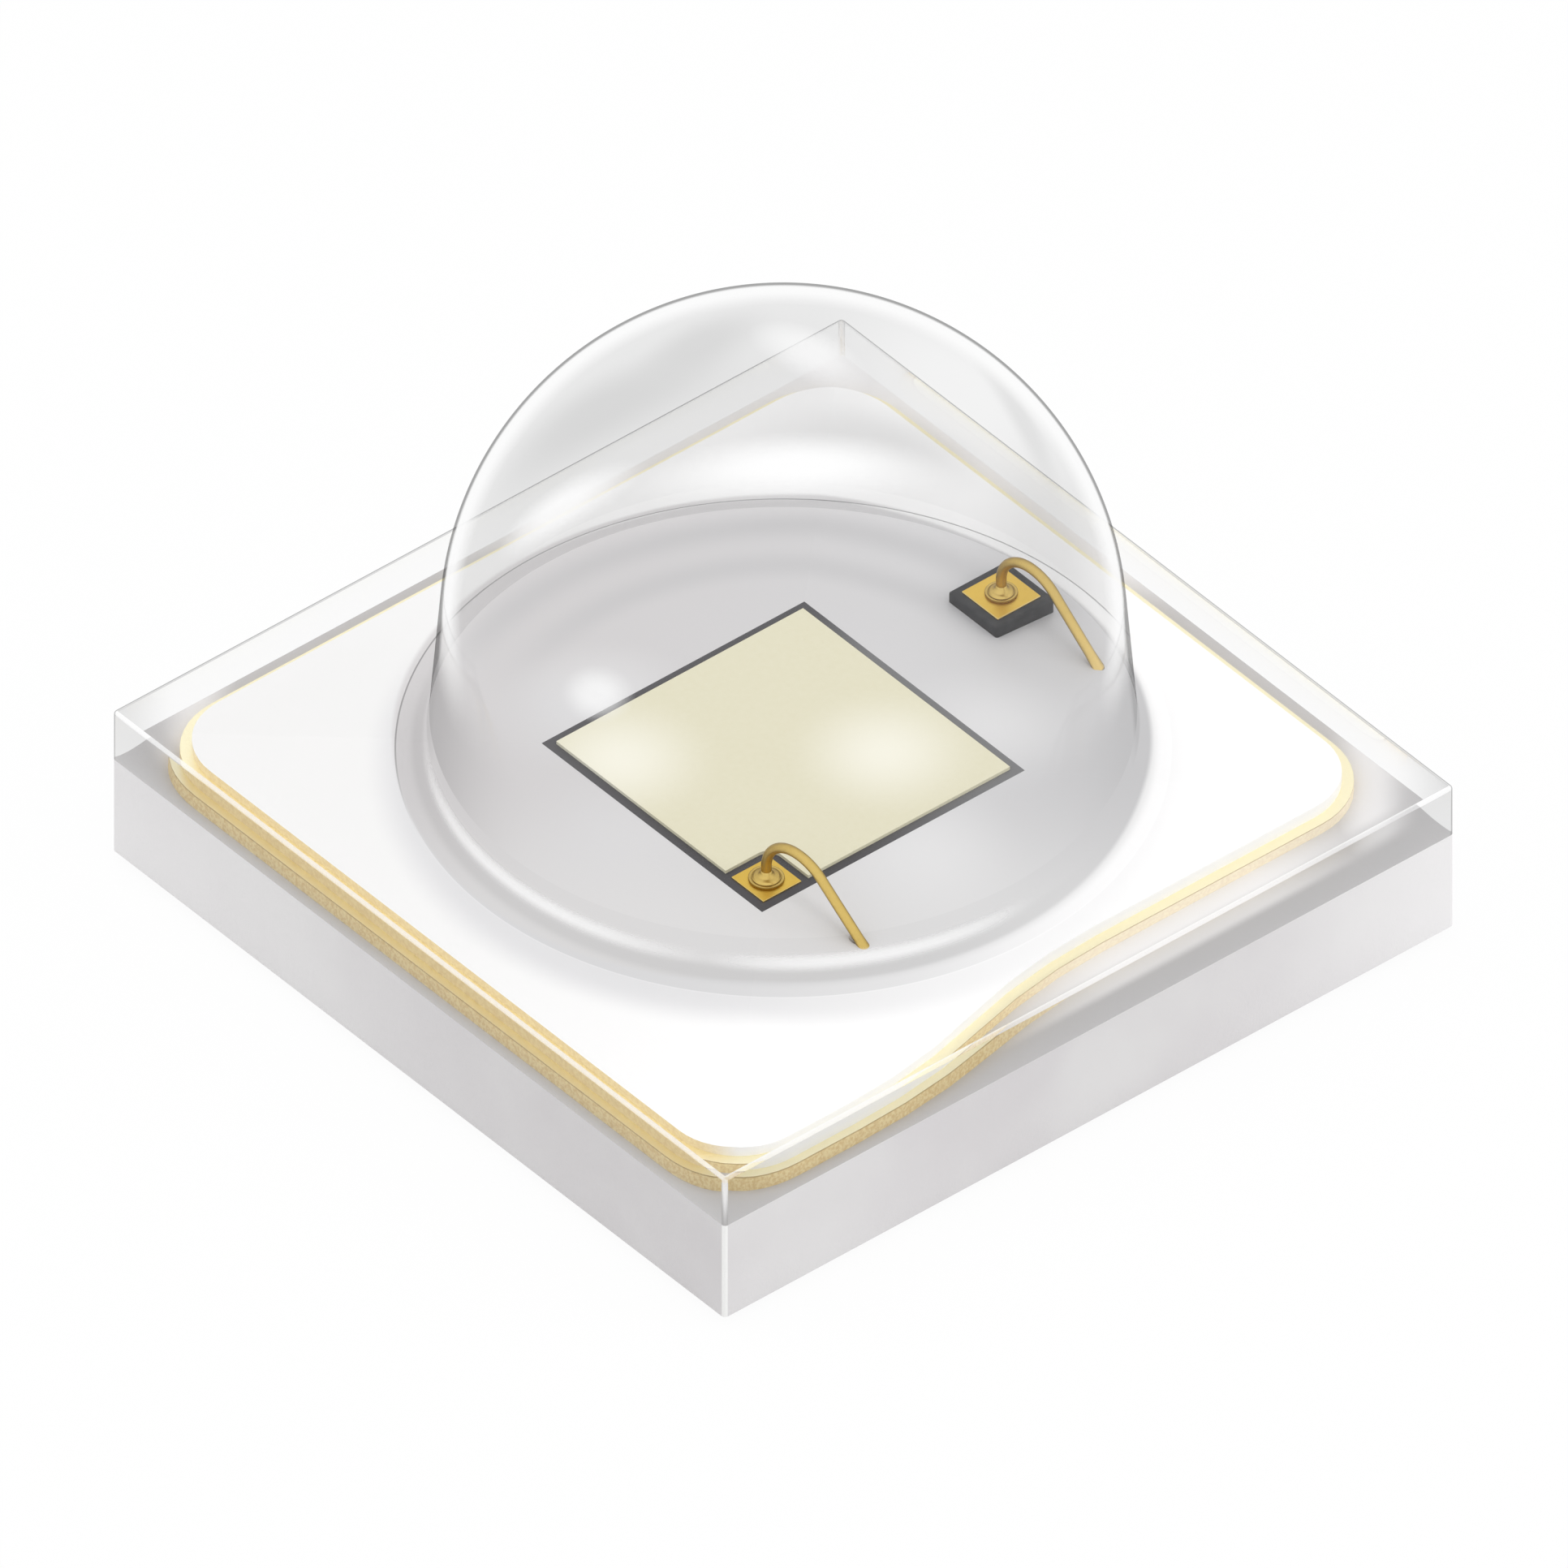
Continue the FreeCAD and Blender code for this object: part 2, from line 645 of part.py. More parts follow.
def make_fill(doc, outline, items):
    """White silicone inside the ring: a shallow hip roof that falls from the chip's top edge."""
    prism = make_prism(doc, outline, "fill_prism", "sizes.slab_thickness", "sizes.rim_exposed")
    roof = doc.addObject("Part::Wedge", "fill_roof")
    reach = f"(({DIE_TOP} - {CERAMIC_TOP}) / sizes.roof_slope)"
    ridge = "(sizes.die_size / 2)"
    for axis in ("X", "Z"):
        roof.setExpression(f"{axis}min", f"-({ridge} + {reach})")
        roof.setExpression(f"{axis}max", f"{ridge} + {reach}")
        roof.setExpression(f"{axis}2min", f"-{ridge}")
        roof.setExpression(f"{axis}2max", ridge)
    roof.setExpression("Ymin", "0")
    roof.setExpression("Ymax", f"{DIE_TOP} - {CERAMIC_TOP}")
    roof.Placement = FreeCAD.Placement(
        FreeCAD.Vector(0, 0, 0), FreeCAD.Rotation(FreeCAD.Vector(1, 0, 0), 90)
    )
    place(roof, z_place=CERAMIC_TOP)
    envelope = doc.addObject("Part::MultiCommon", "fill_envelope")
    envelope.Shapes = [prism, roof]
    held = fuse(doc, "fill_contents", items)
    return envelope, cut(doc, "reflector_coat", envelope, held)


def draw_dome_profile(sketch):
    """Half section of the dome: sphere, flared skirt, and a root that reaches into the slab."""
    radius = float(sketch.evalExpression("sizes.dome_radius"))
    height = float(sketch.evalExpression(f"{SLAB_TOP} + sizes.dome_centre_height"))
    base = float(sketch.evalExpression(SLAB_TOP))
    flare = math.radians(float(sketch.evalExpression("sizes.skirt_flare_angle")))
    root = base - float(sketch.evalExpression("sizes.slab_thickness / 4"))
    top = FreeCAD.Vector(0, height + radius, 0)
    turn = FreeCAD.Vector(radius * math.cos(flare), height + radius * math.sin(flare), 0)
    foot = FreeCAD.Vector(turn.x + (turn.y - root) * math.tan(flare), root, 0)
    circle = Part.Circle(FreeCAD.Vector(0, height, 0), FreeCAD.Vector(0, 0, 1), radius)
    crown, skirt, bottom, axis = range(4)
    sketch.addGeometry(
        [
            Part.ArcOfCircle(circle, flare, math.pi / 2),
            Part.LineSegment(turn, foot),
            Part.LineSegment(foot, FreeCAD.Vector(0, root, 0)),
            Part.LineSegment(FreeCAD.Vector(0, root, 0), top),
        ],
        False,
    )
    sketch.addConstraint(Sketcher.Constraint("Tangent", crown, 1, skirt, 1))
    sketch.addConstraint(Sketcher.Constraint("Coincident", skirt, 2, bottom, 1))
    sketch.addConstraint(Sketcher.Constraint("Coincident", bottom, 2, axis, 1))
    sketch.addConstraint(Sketcher.Constraint("Coincident", axis, 2, crown, 2))
    sketch.addConstraint(Sketcher.Constraint("Horizontal", bottom))
    sketch.addConstraint(Sketcher.Constraint("PointOnObject", crown, 3, -2))
    sketch.addConstraint(Sketcher.Constraint("PointOnObject", crown, 2, -2))
    sketch.addConstraint(Sketcher.Constraint("PointOnObject", axis, 1, -2))
    bind(sketch, Sketcher.Constraint("Radius", crown, radius), "sphere", "sizes.dome_radius")
    bind(
        sketch,
        Sketcher.Constraint("DistanceY", -1, 1, crown, 3, height),
        "centre",
        f"{SLAB_TOP} + sizes.dome_centre_height",
    )
    bind(
        sketch,
        Sketcher.Constraint("DistanceY", -1, 1, bottom, 1, root),
        "root",
        f"{SLAB_TOP} - sizes.slab_thickness / 4",
    )
    bind(
        sketch,
        Sketcher.Constraint("Angle", skirt, flare - math.pi / 2),
        "flare",
        "(sizes.skirt_flare_angle - 90) * 1 deg",
    )


def make_lens_blank(doc):
    """Slab and dome before the hollow that the inner pieces fill."""
    body = make_body(doc, "lens_blank")
    outline = origin_sketch(body, "slab_outline")
    outline.setExpression(".AttachmentOffset.Base.z", CERAMIC_TOP)
    draw_rectangle(outline, "sizes.package_length", "sizes.package_width")
    slab = pad(body, outline, "slab", "sizes.slab_thickness")
    level = float(outline.evalExpression(SLAB_TOP))
    corners = dress_edges(
        body, slab, "Fillet", "slab_corners", "Radius", "sizes.edge_rounding", is_vertical
    )
    rim = dress_edges(
        body, corners, "Chamfer", "slab_rim", "Size", "sizes.rim_chamfer", lies_at(level)
    )
    doc.recompute()
    profile = origin_sketch(body, "dome_profile", "XZ_Plane")
    draw_dome_profile(profile)
    dome = body.newObject("PartDesign::Revolution", "dome")
    dome.Profile = profile
    dome.ReferenceAxis = (profile, ["V_Axis"])
    dome.Angle = 360
    doc.recompute()
    if not dome.Shape.Volume > rim.Shape.Volume:
        raise RuntimeError("the dome added nothing to the slab")
    dress_edges(
        body,
        dome,
        "Fillet",
        "dome_foot",
        "Radius",
        "sizes.foot_fillet",
        lambda edge: is_round_at(edge, level),
    )
    return body


def build(doc):
    """Make every piece, and return those that are exported."""
    make_sheet(doc)
    cathode_via = make_via(
        doc, "cathode_via", f"-{VIA_X}", f"-({WIRE_PAD_Y} + {WIRE_PAD_REACH}) / 2"
    )
    anode_via = make_via(doc, "anode_via", VIA_X, "sizes.anode_via_y")
    holes = fuse(doc, "carrier_holes", [cathode_via, anode_via])
    ceramic = cut(doc, "ceramic_substrate", make_carrier_blank(doc), holes)
    cathode = make_cathode_pad(doc)
    anode = make_solder_pad(doc, "anode_solder_pad", "sizes.electrode_width", ELECTRODE_X)
    thermal = make_solder_pad(doc, "thermal_pad", "sizes.thermal_width", "0")
    outline = draw_ring_outline(doc)
    ring = make_ring(doc, outline)
    die_pad = make_die_pad(doc)
    wire_pad = make_wire_pad(doc)
    die_attach, die = make_die(doc)
    converter = make_converter(doc)
    diode_attach, diode = make_diode(doc)
    chip_pad = make_bond_pad(
        doc, "chip_bond_pad", "sizes.bond_pad_size", f"-{BOND_PAD_INSET}", f"-{BOND_PAD_INSET}", DIE_TOP
    )
    diode_pad = make_bond_pad(
        doc, "diode_bond_pad", "sizes.diode_pad_size", "sizes.diode_x", "sizes.diode_y", DIODE_TOP
    )
    chip_wire = make_bond_wire(
        doc,
        "chip_bond_wire",
        "sizes.chip_ball_diameter",
        f"-{BOND_PAD_INSET}",
        f"-{BOND_PAD_INSET}",
        f"({DIE_TOP} + sizes.bond_pad_thickness)",
    )
    diode_wire = make_bond_wire(
        doc,
        "diode_bond_wire",
        "sizes.diode_ball_diameter",
        "sizes.diode_x",
        "sizes.diode_y",
        f"({DIODE_TOP} + sizes.bond_pad_thickness)",
    )
    envelope, coat = make_fill(
        doc,
        outline,
        [ring, die_pad, wire_pad, die_attach, die, diode_attach, diode, chip_wire, diode_wire],
    )
    hollow = fuse(
        doc,
        "lens_hollow",
        [envelope, ring, converter, chip_pad, chip_wire, diode, diode_pad, diode_wire],
    )
    lens = cut(doc, "silicone_lens", make_lens_blank(doc), hollow)
    return [
        ceramic,
        cathode,
        anode,
        thermal,
        cathode_via,
        anode_via,
        ring,
        die_pad,
        wire_pad,
        coat,
        die_attach,
        die,
        converter,
        chip_pad,
        chip_wire,
        diode_attach,
        diode,
        diode_pad,
        diode_wire,
        lens,
    ]


def check(doc, pieces):
    """Stop if an object failed, or if a piece has no valid solid."""
    for item in doc.Objects:
        if "Invalid" in item.State or "Error" in item.State:
            raise RuntimeError(f"{item.Name} failed: {item.State}")
    for piece in pieces:
        if piece.Shape.isNull() or not piece.Shape.isValid() or not piece.Shape.Solids:
            raise RuntimeError(f"{piece.Label} has no valid solid")


def main():
    """Build the part, and write each piece to a file of its own."""
    doc = FreeCAD.newDocument("surface_mount_led")
    pieces = build(doc)
    doc.recompute()
    check(doc, pieces)
    os.makedirs("parts", exist_ok=True)
    for piece in pieces:
        piece.Shape.exportStep(f"parts/{piece.Label}.step")
        box = piece.Shape.BoundBox
        print(
            f"{piece.Label}: {len(piece.Shape.Solids)} solid, volume {piece.Shape.Volume:.5f},"
            f" x {box.XMin:.3f} {box.XMax:.3f}, y {box.YMin:.3f} {box.YMax:.3f},"
            f" z {box.ZMin:.3f} {box.ZMax:.3f}"
        )


main()
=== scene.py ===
"""Looks of the surface-mount LED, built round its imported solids.

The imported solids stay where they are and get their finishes. The clear lens, the bond wires,
the protection diode and the bond pads are modelled again with fine edges, each at the place of
the solid that it stands for. Lengths are in metres, in the part's own frame: the origin at the
centre of the underside, and +Z up through the dome.
"""

import logging
import math
from dataclasses import dataclass
from enum import Enum
from typing import Sequence, Union

import bmesh
import bpy
from mathutils import Matrix, Quaternion, Vector


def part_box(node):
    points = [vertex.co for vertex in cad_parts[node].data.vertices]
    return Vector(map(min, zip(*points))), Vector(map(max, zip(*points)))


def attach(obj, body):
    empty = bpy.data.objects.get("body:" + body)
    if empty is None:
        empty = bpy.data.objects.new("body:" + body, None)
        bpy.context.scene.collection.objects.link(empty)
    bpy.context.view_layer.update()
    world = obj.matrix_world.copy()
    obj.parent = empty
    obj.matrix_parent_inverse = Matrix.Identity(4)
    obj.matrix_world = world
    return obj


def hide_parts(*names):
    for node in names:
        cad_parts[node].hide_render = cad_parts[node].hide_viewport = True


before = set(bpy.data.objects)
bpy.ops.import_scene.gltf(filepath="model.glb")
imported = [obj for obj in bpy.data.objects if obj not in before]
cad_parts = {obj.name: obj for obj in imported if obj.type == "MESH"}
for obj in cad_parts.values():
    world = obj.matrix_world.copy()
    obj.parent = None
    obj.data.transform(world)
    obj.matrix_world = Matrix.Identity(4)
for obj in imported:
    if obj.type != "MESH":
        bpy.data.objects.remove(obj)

LOG = logging.getLogger("led")
MM = 0.001
Colour = tuple[float, float, float]
Point = tuple[float, float, float]
Span = tuple[float, float]
Pair = tuple[float, float]
Face = tuple[int, ...]
Object = bpy.types.Object
Socket = bpy.types.NodeSocket
Number = Union[float, "Signal"]
Inputs = dict[Union[str, int], object]
MADE: dict[str, bpy.types.Material] = {}
# The photo's view is turned by 40 degrees about the upright axis.
TURN_COS, TURN_SIN = 0.766, 0.643
# Rise of a mask from noise, or from how far a face is turned.
ABOUT_HALF: Span = (0.3, 0.7)
# Rise over the upright edge that stands nearest to the view.
NEAR_EDGE: Span = (1.0, 1.25)


class Signal:
    """Number that a socket gives, which takes part in plain arithmetic."""

    def __init__(self, graph: "Graph", socket: Socket) -> None:
        """Keep the socket and the graph that it belongs to."""
        self.graph = graph
        self.socket = socket

    def __add__(self, other: Number) -> "Signal":
        """Sum of two numbers."""
        return self.graph.maths("ADD", self, other)

    def __sub__(self, other: Number) -> "Signal":
        """Difference of two numbers."""
        return self.graph.maths("SUBTRACT", self, other)

    def __rsub__(self, other: float) -> "Signal":
        """Difference from a plain number."""
        return self.graph.maths("SUBTRACT", other, self)

    def __mul__(self, other: Number) -> "Signal":
        """Product of two numbers."""
        return self.graph.maths("MULTIPLY", self, other)

    def __truediv__(self, other: Number) -> "Signal":
        """Quotient of two numbers."""
        return self.graph.maths("DIVIDE", self, other)

    def __neg__(self) -> "Signal":
        """Number with its sign turned."""
        return self.graph.maths("MULTIPLY", self, -1.0)

    def __abs__(self) -> "Signal":
        """Size without its sign."""
        return self.graph.maths("ABSOLUTE", self)

    __radd__ = __add__
    __rmul__ = __mul__

    def step(self, low: float, high: float) -> "Signal":
        """Smooth rise from 0 to 1.

        Args:
            low: where it leaves 0.
            high: where it reaches 1.

        Returns:
            The risen number.
        """
        inputs = {"Value": self, "From Min": low, "From Max": high}
        risen = self.graph.first("ShaderNodeMapRange", inputs, interpolation_type="SMOOTHSTEP")
        return Signal(self.graph, risen)

    def fall(self, low: float, high: float) -> "Signal":
        """Smooth fall from 1 at the low value to 0 at the high one."""
        return 1 - self.step(low, high)

    def hump(self, rise: Span, fall: Span) -> "Signal":
        """Smooth rise from 0 to 1 over one span, and fall to 0 again over the next."""
        return self.step(*rise) * self.fall(*fall)

    def about(self, middle: float, spread: float) -> "Signal":
        """Number that strays from a middle by a share of how far this one strays from 0.5."""
        return (self - 0.5) * spread + middle


class Graph:
    """Node tree of one material, or of the world."""

    def __init__(self, tree: bpy.types.NodeTree) -> None:
        """Take over a tree, and empty it."""
        self.tree = tree
        tree.nodes.clear()

    def node(self, kind: str, inputs: Inputs | None = None, **settings: object) -> bpy.types.Node:
        """Add one node.

        Args:
            kind: the node's type.
            inputs: each socket's value, or the socket or signal that is linked to it.
            settings: what is set on the node before its sockets.

        Returns:
            The new node.
        """
        made = self.tree.nodes.new(kind)
        for key, value in settings.items():
            setattr(made, key, value)
        for key, value in (inputs or {}).items():
            source = value.socket if isinstance(value, Signal) else value
            if isinstance(source, Socket):
                self.tree.links.new(source, made.inputs[key])
            elif made.inputs[key].type == "RGBA":
                made.inputs[key].default_value = (*source, 1.0)
            else:
                made.inputs[key].default_value = source
        return made

    def first(self, kind: str, inputs: Inputs, **settings: object) -> Socket:
        """First socket that a new node gives."""
        return self.node(kind, inputs, **settings).outputs[0]

    def maths(self, operation: str, first: Number, second: Number = 0.0) -> Signal:
        """Result of a Math node."""
        made = self.first("ShaderNodeMath", {0: first, 1: second}, operation=operation)
        return Signal(self, made)

    def most(self, first: Number, *others: Number) -> Signal:
        """Largest of some numbers.

        Args:
            first: one of the numbers.
            others: the other ones.

        Returns:
            The largest.
        """
        for other in others:
            first = self.maths("MAXIMUM", first, other)
        return first

    def length(self, first: Signal, second: Signal) -> Signal:
        """Length of a line that runs so far along two axes."""
        return self.maths("SQRT", first * first + second * second)

    def blend(self, factor: Number, first: Socket | Colour, second: Socket | Colour) -> Socket:
        """Colour between two colours."""
        inputs = {0: factor, 6: first, 7: second}
        return self.node("ShaderNodeMix", inputs, data_type="RGBA").outputs[2]

    def layer(self, factor: Number, first: Socket, second: Socket) -> Socket:
        """Shader between two shaders."""
        return self.first("ShaderNodeMixShader", {0: factor, 1: first, 2: second})

    def place(self) -> Socket:
        """Place on the piece, in millimetres."""
        inputs = {0: self.node("ShaderNodeTexCoord").outputs["Object"], "Scale": 1 / MM}
        return self.first("ShaderNodeVectorMath", inputs, operation="SCALE")

    def vector(self, operation: str, *inputs: Socket | Point) -> Socket:
        """Vector that a Vector Math node gives."""
        return self.first("ShaderNodeVectorMath", dict(enumerate(inputs)), operation=operation)

    def measure(self, operation: str, first: Socket, second: Point | Vector) -> Signal:
        """Number that a Vector Math node gives."""
        made = self.node("ShaderNodeVectorMath", {0: first, 1: second}, operation=operation)
        return Signal(self, made.outputs["Value"])

    def axes(self, vector: Socket) -> tuple[Signal, Signal, Signal]:
        """The three numbers of a vector."""
        parts = self.node("ShaderNodeSeparateXYZ", {0: vector})
        return tuple(Signal(self, output) for output in parts.outputs)

    def normal(self) -> tuple[Signal, Signal, Signal]:
        """The three numbers of the surface's direction."""
        return self.axes(self.node("ShaderNodeNewGeometry").outputs["Normal"])

    def front_edge(self) -> Signal:
        """One on the upright edge that stands nearest to the view, and nothing elsewhere."""
        normal_x, normal_y, _ = self.normal()
        return (-(normal_x + normal_y)).step(*NEAR_EDGE)

    def inside(self) -> Signal:
        """One on the inner side of a surface, and nothing on its outer side."""
        return Signal(self, self.node("ShaderNodeNewGeometry").outputs["Backfacing"])

    def facing(self) -> Signal:
        """Nothing where a surface is met square on, and one where it is met edge on."""
        return Signal(self, self.node("ShaderNodeLayerWeight").outputs["Facing"])

    def mirror(self, index: float) -> Signal:
        """Share of the light that a clear surface sends back."""
        return Signal(self, self.first("ShaderNodeFresnel", {"IOR": index}))

    def noise(self, vector: Socket, per_mm: float, detail: float = 2.0) -> Signal:
        """Cloudy noise about 0.5, from a place in millimetres."""
        inputs = {"Vector": vector, "Scale": per_mm, "Detail": detail, "Roughness": 0.6}
        return Signal(self, self.first("ShaderNodeTexNoise", inputs))

    def bump(self, height: Signal, depth: float) -> Socket:
        """Normal of a surface with small relief, its depth in metres."""
        return self.first("ShaderNodeBump", {"Height": height, "Distance": depth, "Strength": 1.0})

    def ray(self, *kinds: str) -> Signal:
        """Tell some kinds of ray from the others.

        Args:
            kinds: the Light Path node's sockets for these kinds.

        Returns:
            One for a ray of any of these kinds, and nothing for the others.
        """
        path = self.node("ShaderNodeLightPath")
        total = Signal(self, path.outputs[kinds[0]])
        for kind in kinds[1:]:
            total = total + Signal(self, path.outputs[kind])
        return self.maths("MINIMUM", total, 1.0)

    def clear(self, tint: float = 1.0) -> Socket:
        """Shader that lets light straight through, greyed by a tint."""
        return self.first("ShaderNodeBsdfTransparent", {"Color": grey(tint)})

    def bent(self, index: float, tint: float = 1.0) -> Socket:
        """Shader that bends the view, greyed by a tint."""
        inputs = {"IOR": index, "Roughness": 0.0, "Color": grey(tint)}
        return self.first("ShaderNodeBsdfRefraction", inputs)

    def gloss(self, roughness: float) -> Socket:
        """White reflection."""
        return self.first("ShaderNodeBsdfGlossy", {"Color": grey(1.0), "Roughness": roughness})

    def lit_through(self, skin: Socket, level: float = 1.0) -> Socket:
        """Skin for what is seen, which the light that falls on other pieces passes straight."""
        return self.layer(self.ray("Is Shadow Ray", "Is Diffuse Ray"), skin, self.clear(level))

    def solid(self, **inputs: object) -> Socket:
        """Principled surface, its sockets named with _ for a space."""
        named = {key.replace("_", " "): value for key, value in inputs.items()}
        return self.first("ShaderNodeBsdfPrincipled", named)

    def grained(
        self, colour: Socket, grain: Signal, relief: float, rough: Signal, **inputs: object
    ) -> Socket:
        """Principled surface whose relief, in metres, follows a grain."""
        normal = self.bump(grain, relief)
        return self.solid(Base_Color=colour, Roughness=rough, Normal=normal, **inputs)


def grey(level: float) -> Colour:
    """Grey of a level."""
    return (level, level, level)


def rightward(x: Signal, y: Signal) -> Signal:
    """How far a place lies to the right of the middle, as the photo shows the part."""
    return x * TURN_COS - y * TURN_SIN


def rearward(x: Signal, y: Signal) -> Signal:
    """How far a place lies behind the middle, as the photo shows the part."""
    return x * TURN_SIN + y * TURN_COS


@dataclass(frozen=True)
class Finish:
    """A named surface finish. The places and spans that it gives without MM are in millimetres."""

    name: str

    def shade(self, graph: Graph) -> Socket:
        """Shader of the finish."""
        raise NotImplementedError

    def material(self) -> bpy.types.Material:
        """Material with this finish, made once.

        Returns:
            The material.
        """
        if self.name in MADE:
            return MADE[self.name]
        made = bpy.data.materials.new(self.name)
        MADE[self.name] = made
        made.use_nodes = True
        graph = Graph(made.node_tree)
        graph.node("ShaderNodeOutputMaterial", {"Surface": self.shade(graph)})
        return made


@dataclass(frozen=True)
class Grained(Finish):
    """Plain material with a fine cloudy grain, matte or metallic."""

    light: Colour
    dark: Colour
    per_mm: float
    roughness: float
    metallic: float = 0.0
    relief: float = 0.0004 * MM
    specular: float = 0.5
    spread: float = 0.2

    def shade(self, graph: Graph) -> Socket:
        """Shader of the finish.

        Args:
            graph: the graph that its nodes are made in.

        Returns:
            The shader's socket.
        """
        grain = graph.noise(graph.place(), self.per_mm)
        colour = graph.blend(grain.step(*ABOUT_HALF), self.dark, self.light)
        inputs = {"Metallic": self.metallic, "Specular_IOR_Level": self.specular}
        rough = grain.about(self.roughness, self.spread)
        return graph.grained(colour, grain, self.relief, rough, **inputs)


@dataclass(frozen=True)
class FiredCeramic(Finish):
    """Pale fired ceramic: soft mottling, a fine tooth, and a painted highlight on its front edge.

    Painted light makes its sides lighter towards the corners and the floor. Painted shade darkens
    its upper face, with painted light at the far corner, along the front and at the two ends.
    """

    half: float
    light: Colour = (0.68, 0.67, 0.67)
    dark: Colour = (0.61, 0.59, 0.6)
    # Painted light on the sides and upper face, a painted highlight on the front edge, and painted
    # shade on the upper face.
    painted_light: Colour = (0.84, 0.83, 0.835)
    edge: Colour = (0.9, 0.9, 0.89)
    top: Colour = (0.54, 0.53, 0.535)
    height: float = 0.4 * MM
    # How much lighter the sides are painted near the floor.
    painted_floor_light_share: float = 0.16
    right_middle_share: float = 0.15
    far_corner: Span = (1.3, 1.7)
    front_rise: Span = (-1.38, -1.33)
    front_fall: Span = (-1.22, -1.12)
    front_start: Span = (-0.5, 0.3)
    front_end: Span = (0.8, 1.4)
    end_rise: Span = (1.7, 1.84)
    end_fall: Span = (1.86, 1.98)
    end_edge: Span = (-1.38, -1.3)
    end_share: float = 0.8
    mottle_per_mm: float = 1.1
    tooth_per_mm: float = 55.0
    left_far: Span = (0.3, 2.1)
    right_far: Span = (0.75, 1.75)
    right_middle: Span = (0.1, 0.55)
    roughness: float = 0.55
    spread: float = 0.25
    relief: float = 0.0008 * MM

    def shade(self, graph: Graph) -> Socket:
        """Shader of the finish.

        Args:
            graph: the graph that its nodes are made in.

        Returns:
            The shader's socket.
        """
        place = graph.place()
        x, y, z = graph.axes(place)
        mottle = graph.noise(place, self.mottle_per_mm, 3.0)
        tooth = graph.noise(place, self.tooth_per_mm, 3.0)
        body = graph.blend(mottle.step(*ABOUT_HALF), self.dark, self.light)
        _, normal_y, normal_z = graph.normal()
        # Painted light: the sides grow lighter towards the corners and near the floor.
        upright = 1 - abs(normal_z)
        sideways = abs(rightward(x, y))
        far = sideways / (self.half / MM)
        middle = far.fall(*self.right_middle) * self.right_middle_share
        right = graph.most(far.step(*self.right_far), middle)
        turned = (-normal_y).step(*ABOUT_HALF)
        painted_light = (turned * right + (1 - turned) * far.step(*self.left_far)) * upright
        painted_light = painted_light + z.fall(0.0, self.height / MM) * upright * self.painted_floor_light_share
        # Painted light on the upper face at the far corner, along the front and at the two ends.
        front = y.hump(self.front_rise, self.front_fall) * x.hump(self.front_start, self.front_end)
        ends = sideways.hump(self.end_rise, self.end_fall) * self.end_share
        ends = ends * y.step(*self.end_edge) * x.step(*self.end_edge)
        painted_light = graph.most(painted_light, graph.most((x + y).step(*self.far_corner), front, ends) * normal_z)
        # Painted shade darkens the upper face, then the painted light and a painted highlight on
        # the front edge go on.
        body = graph.blend(normal_z.step(*ABOUT_HALF), body, self.top)
        body = graph.blend(painted_light, body, self.painted_light)
        colour = graph.blend(graph.front_edge(), body, self.edge)
        return graph.grained(colour, tooth, self.relief, tooth.about(self.roughness, self.spread))


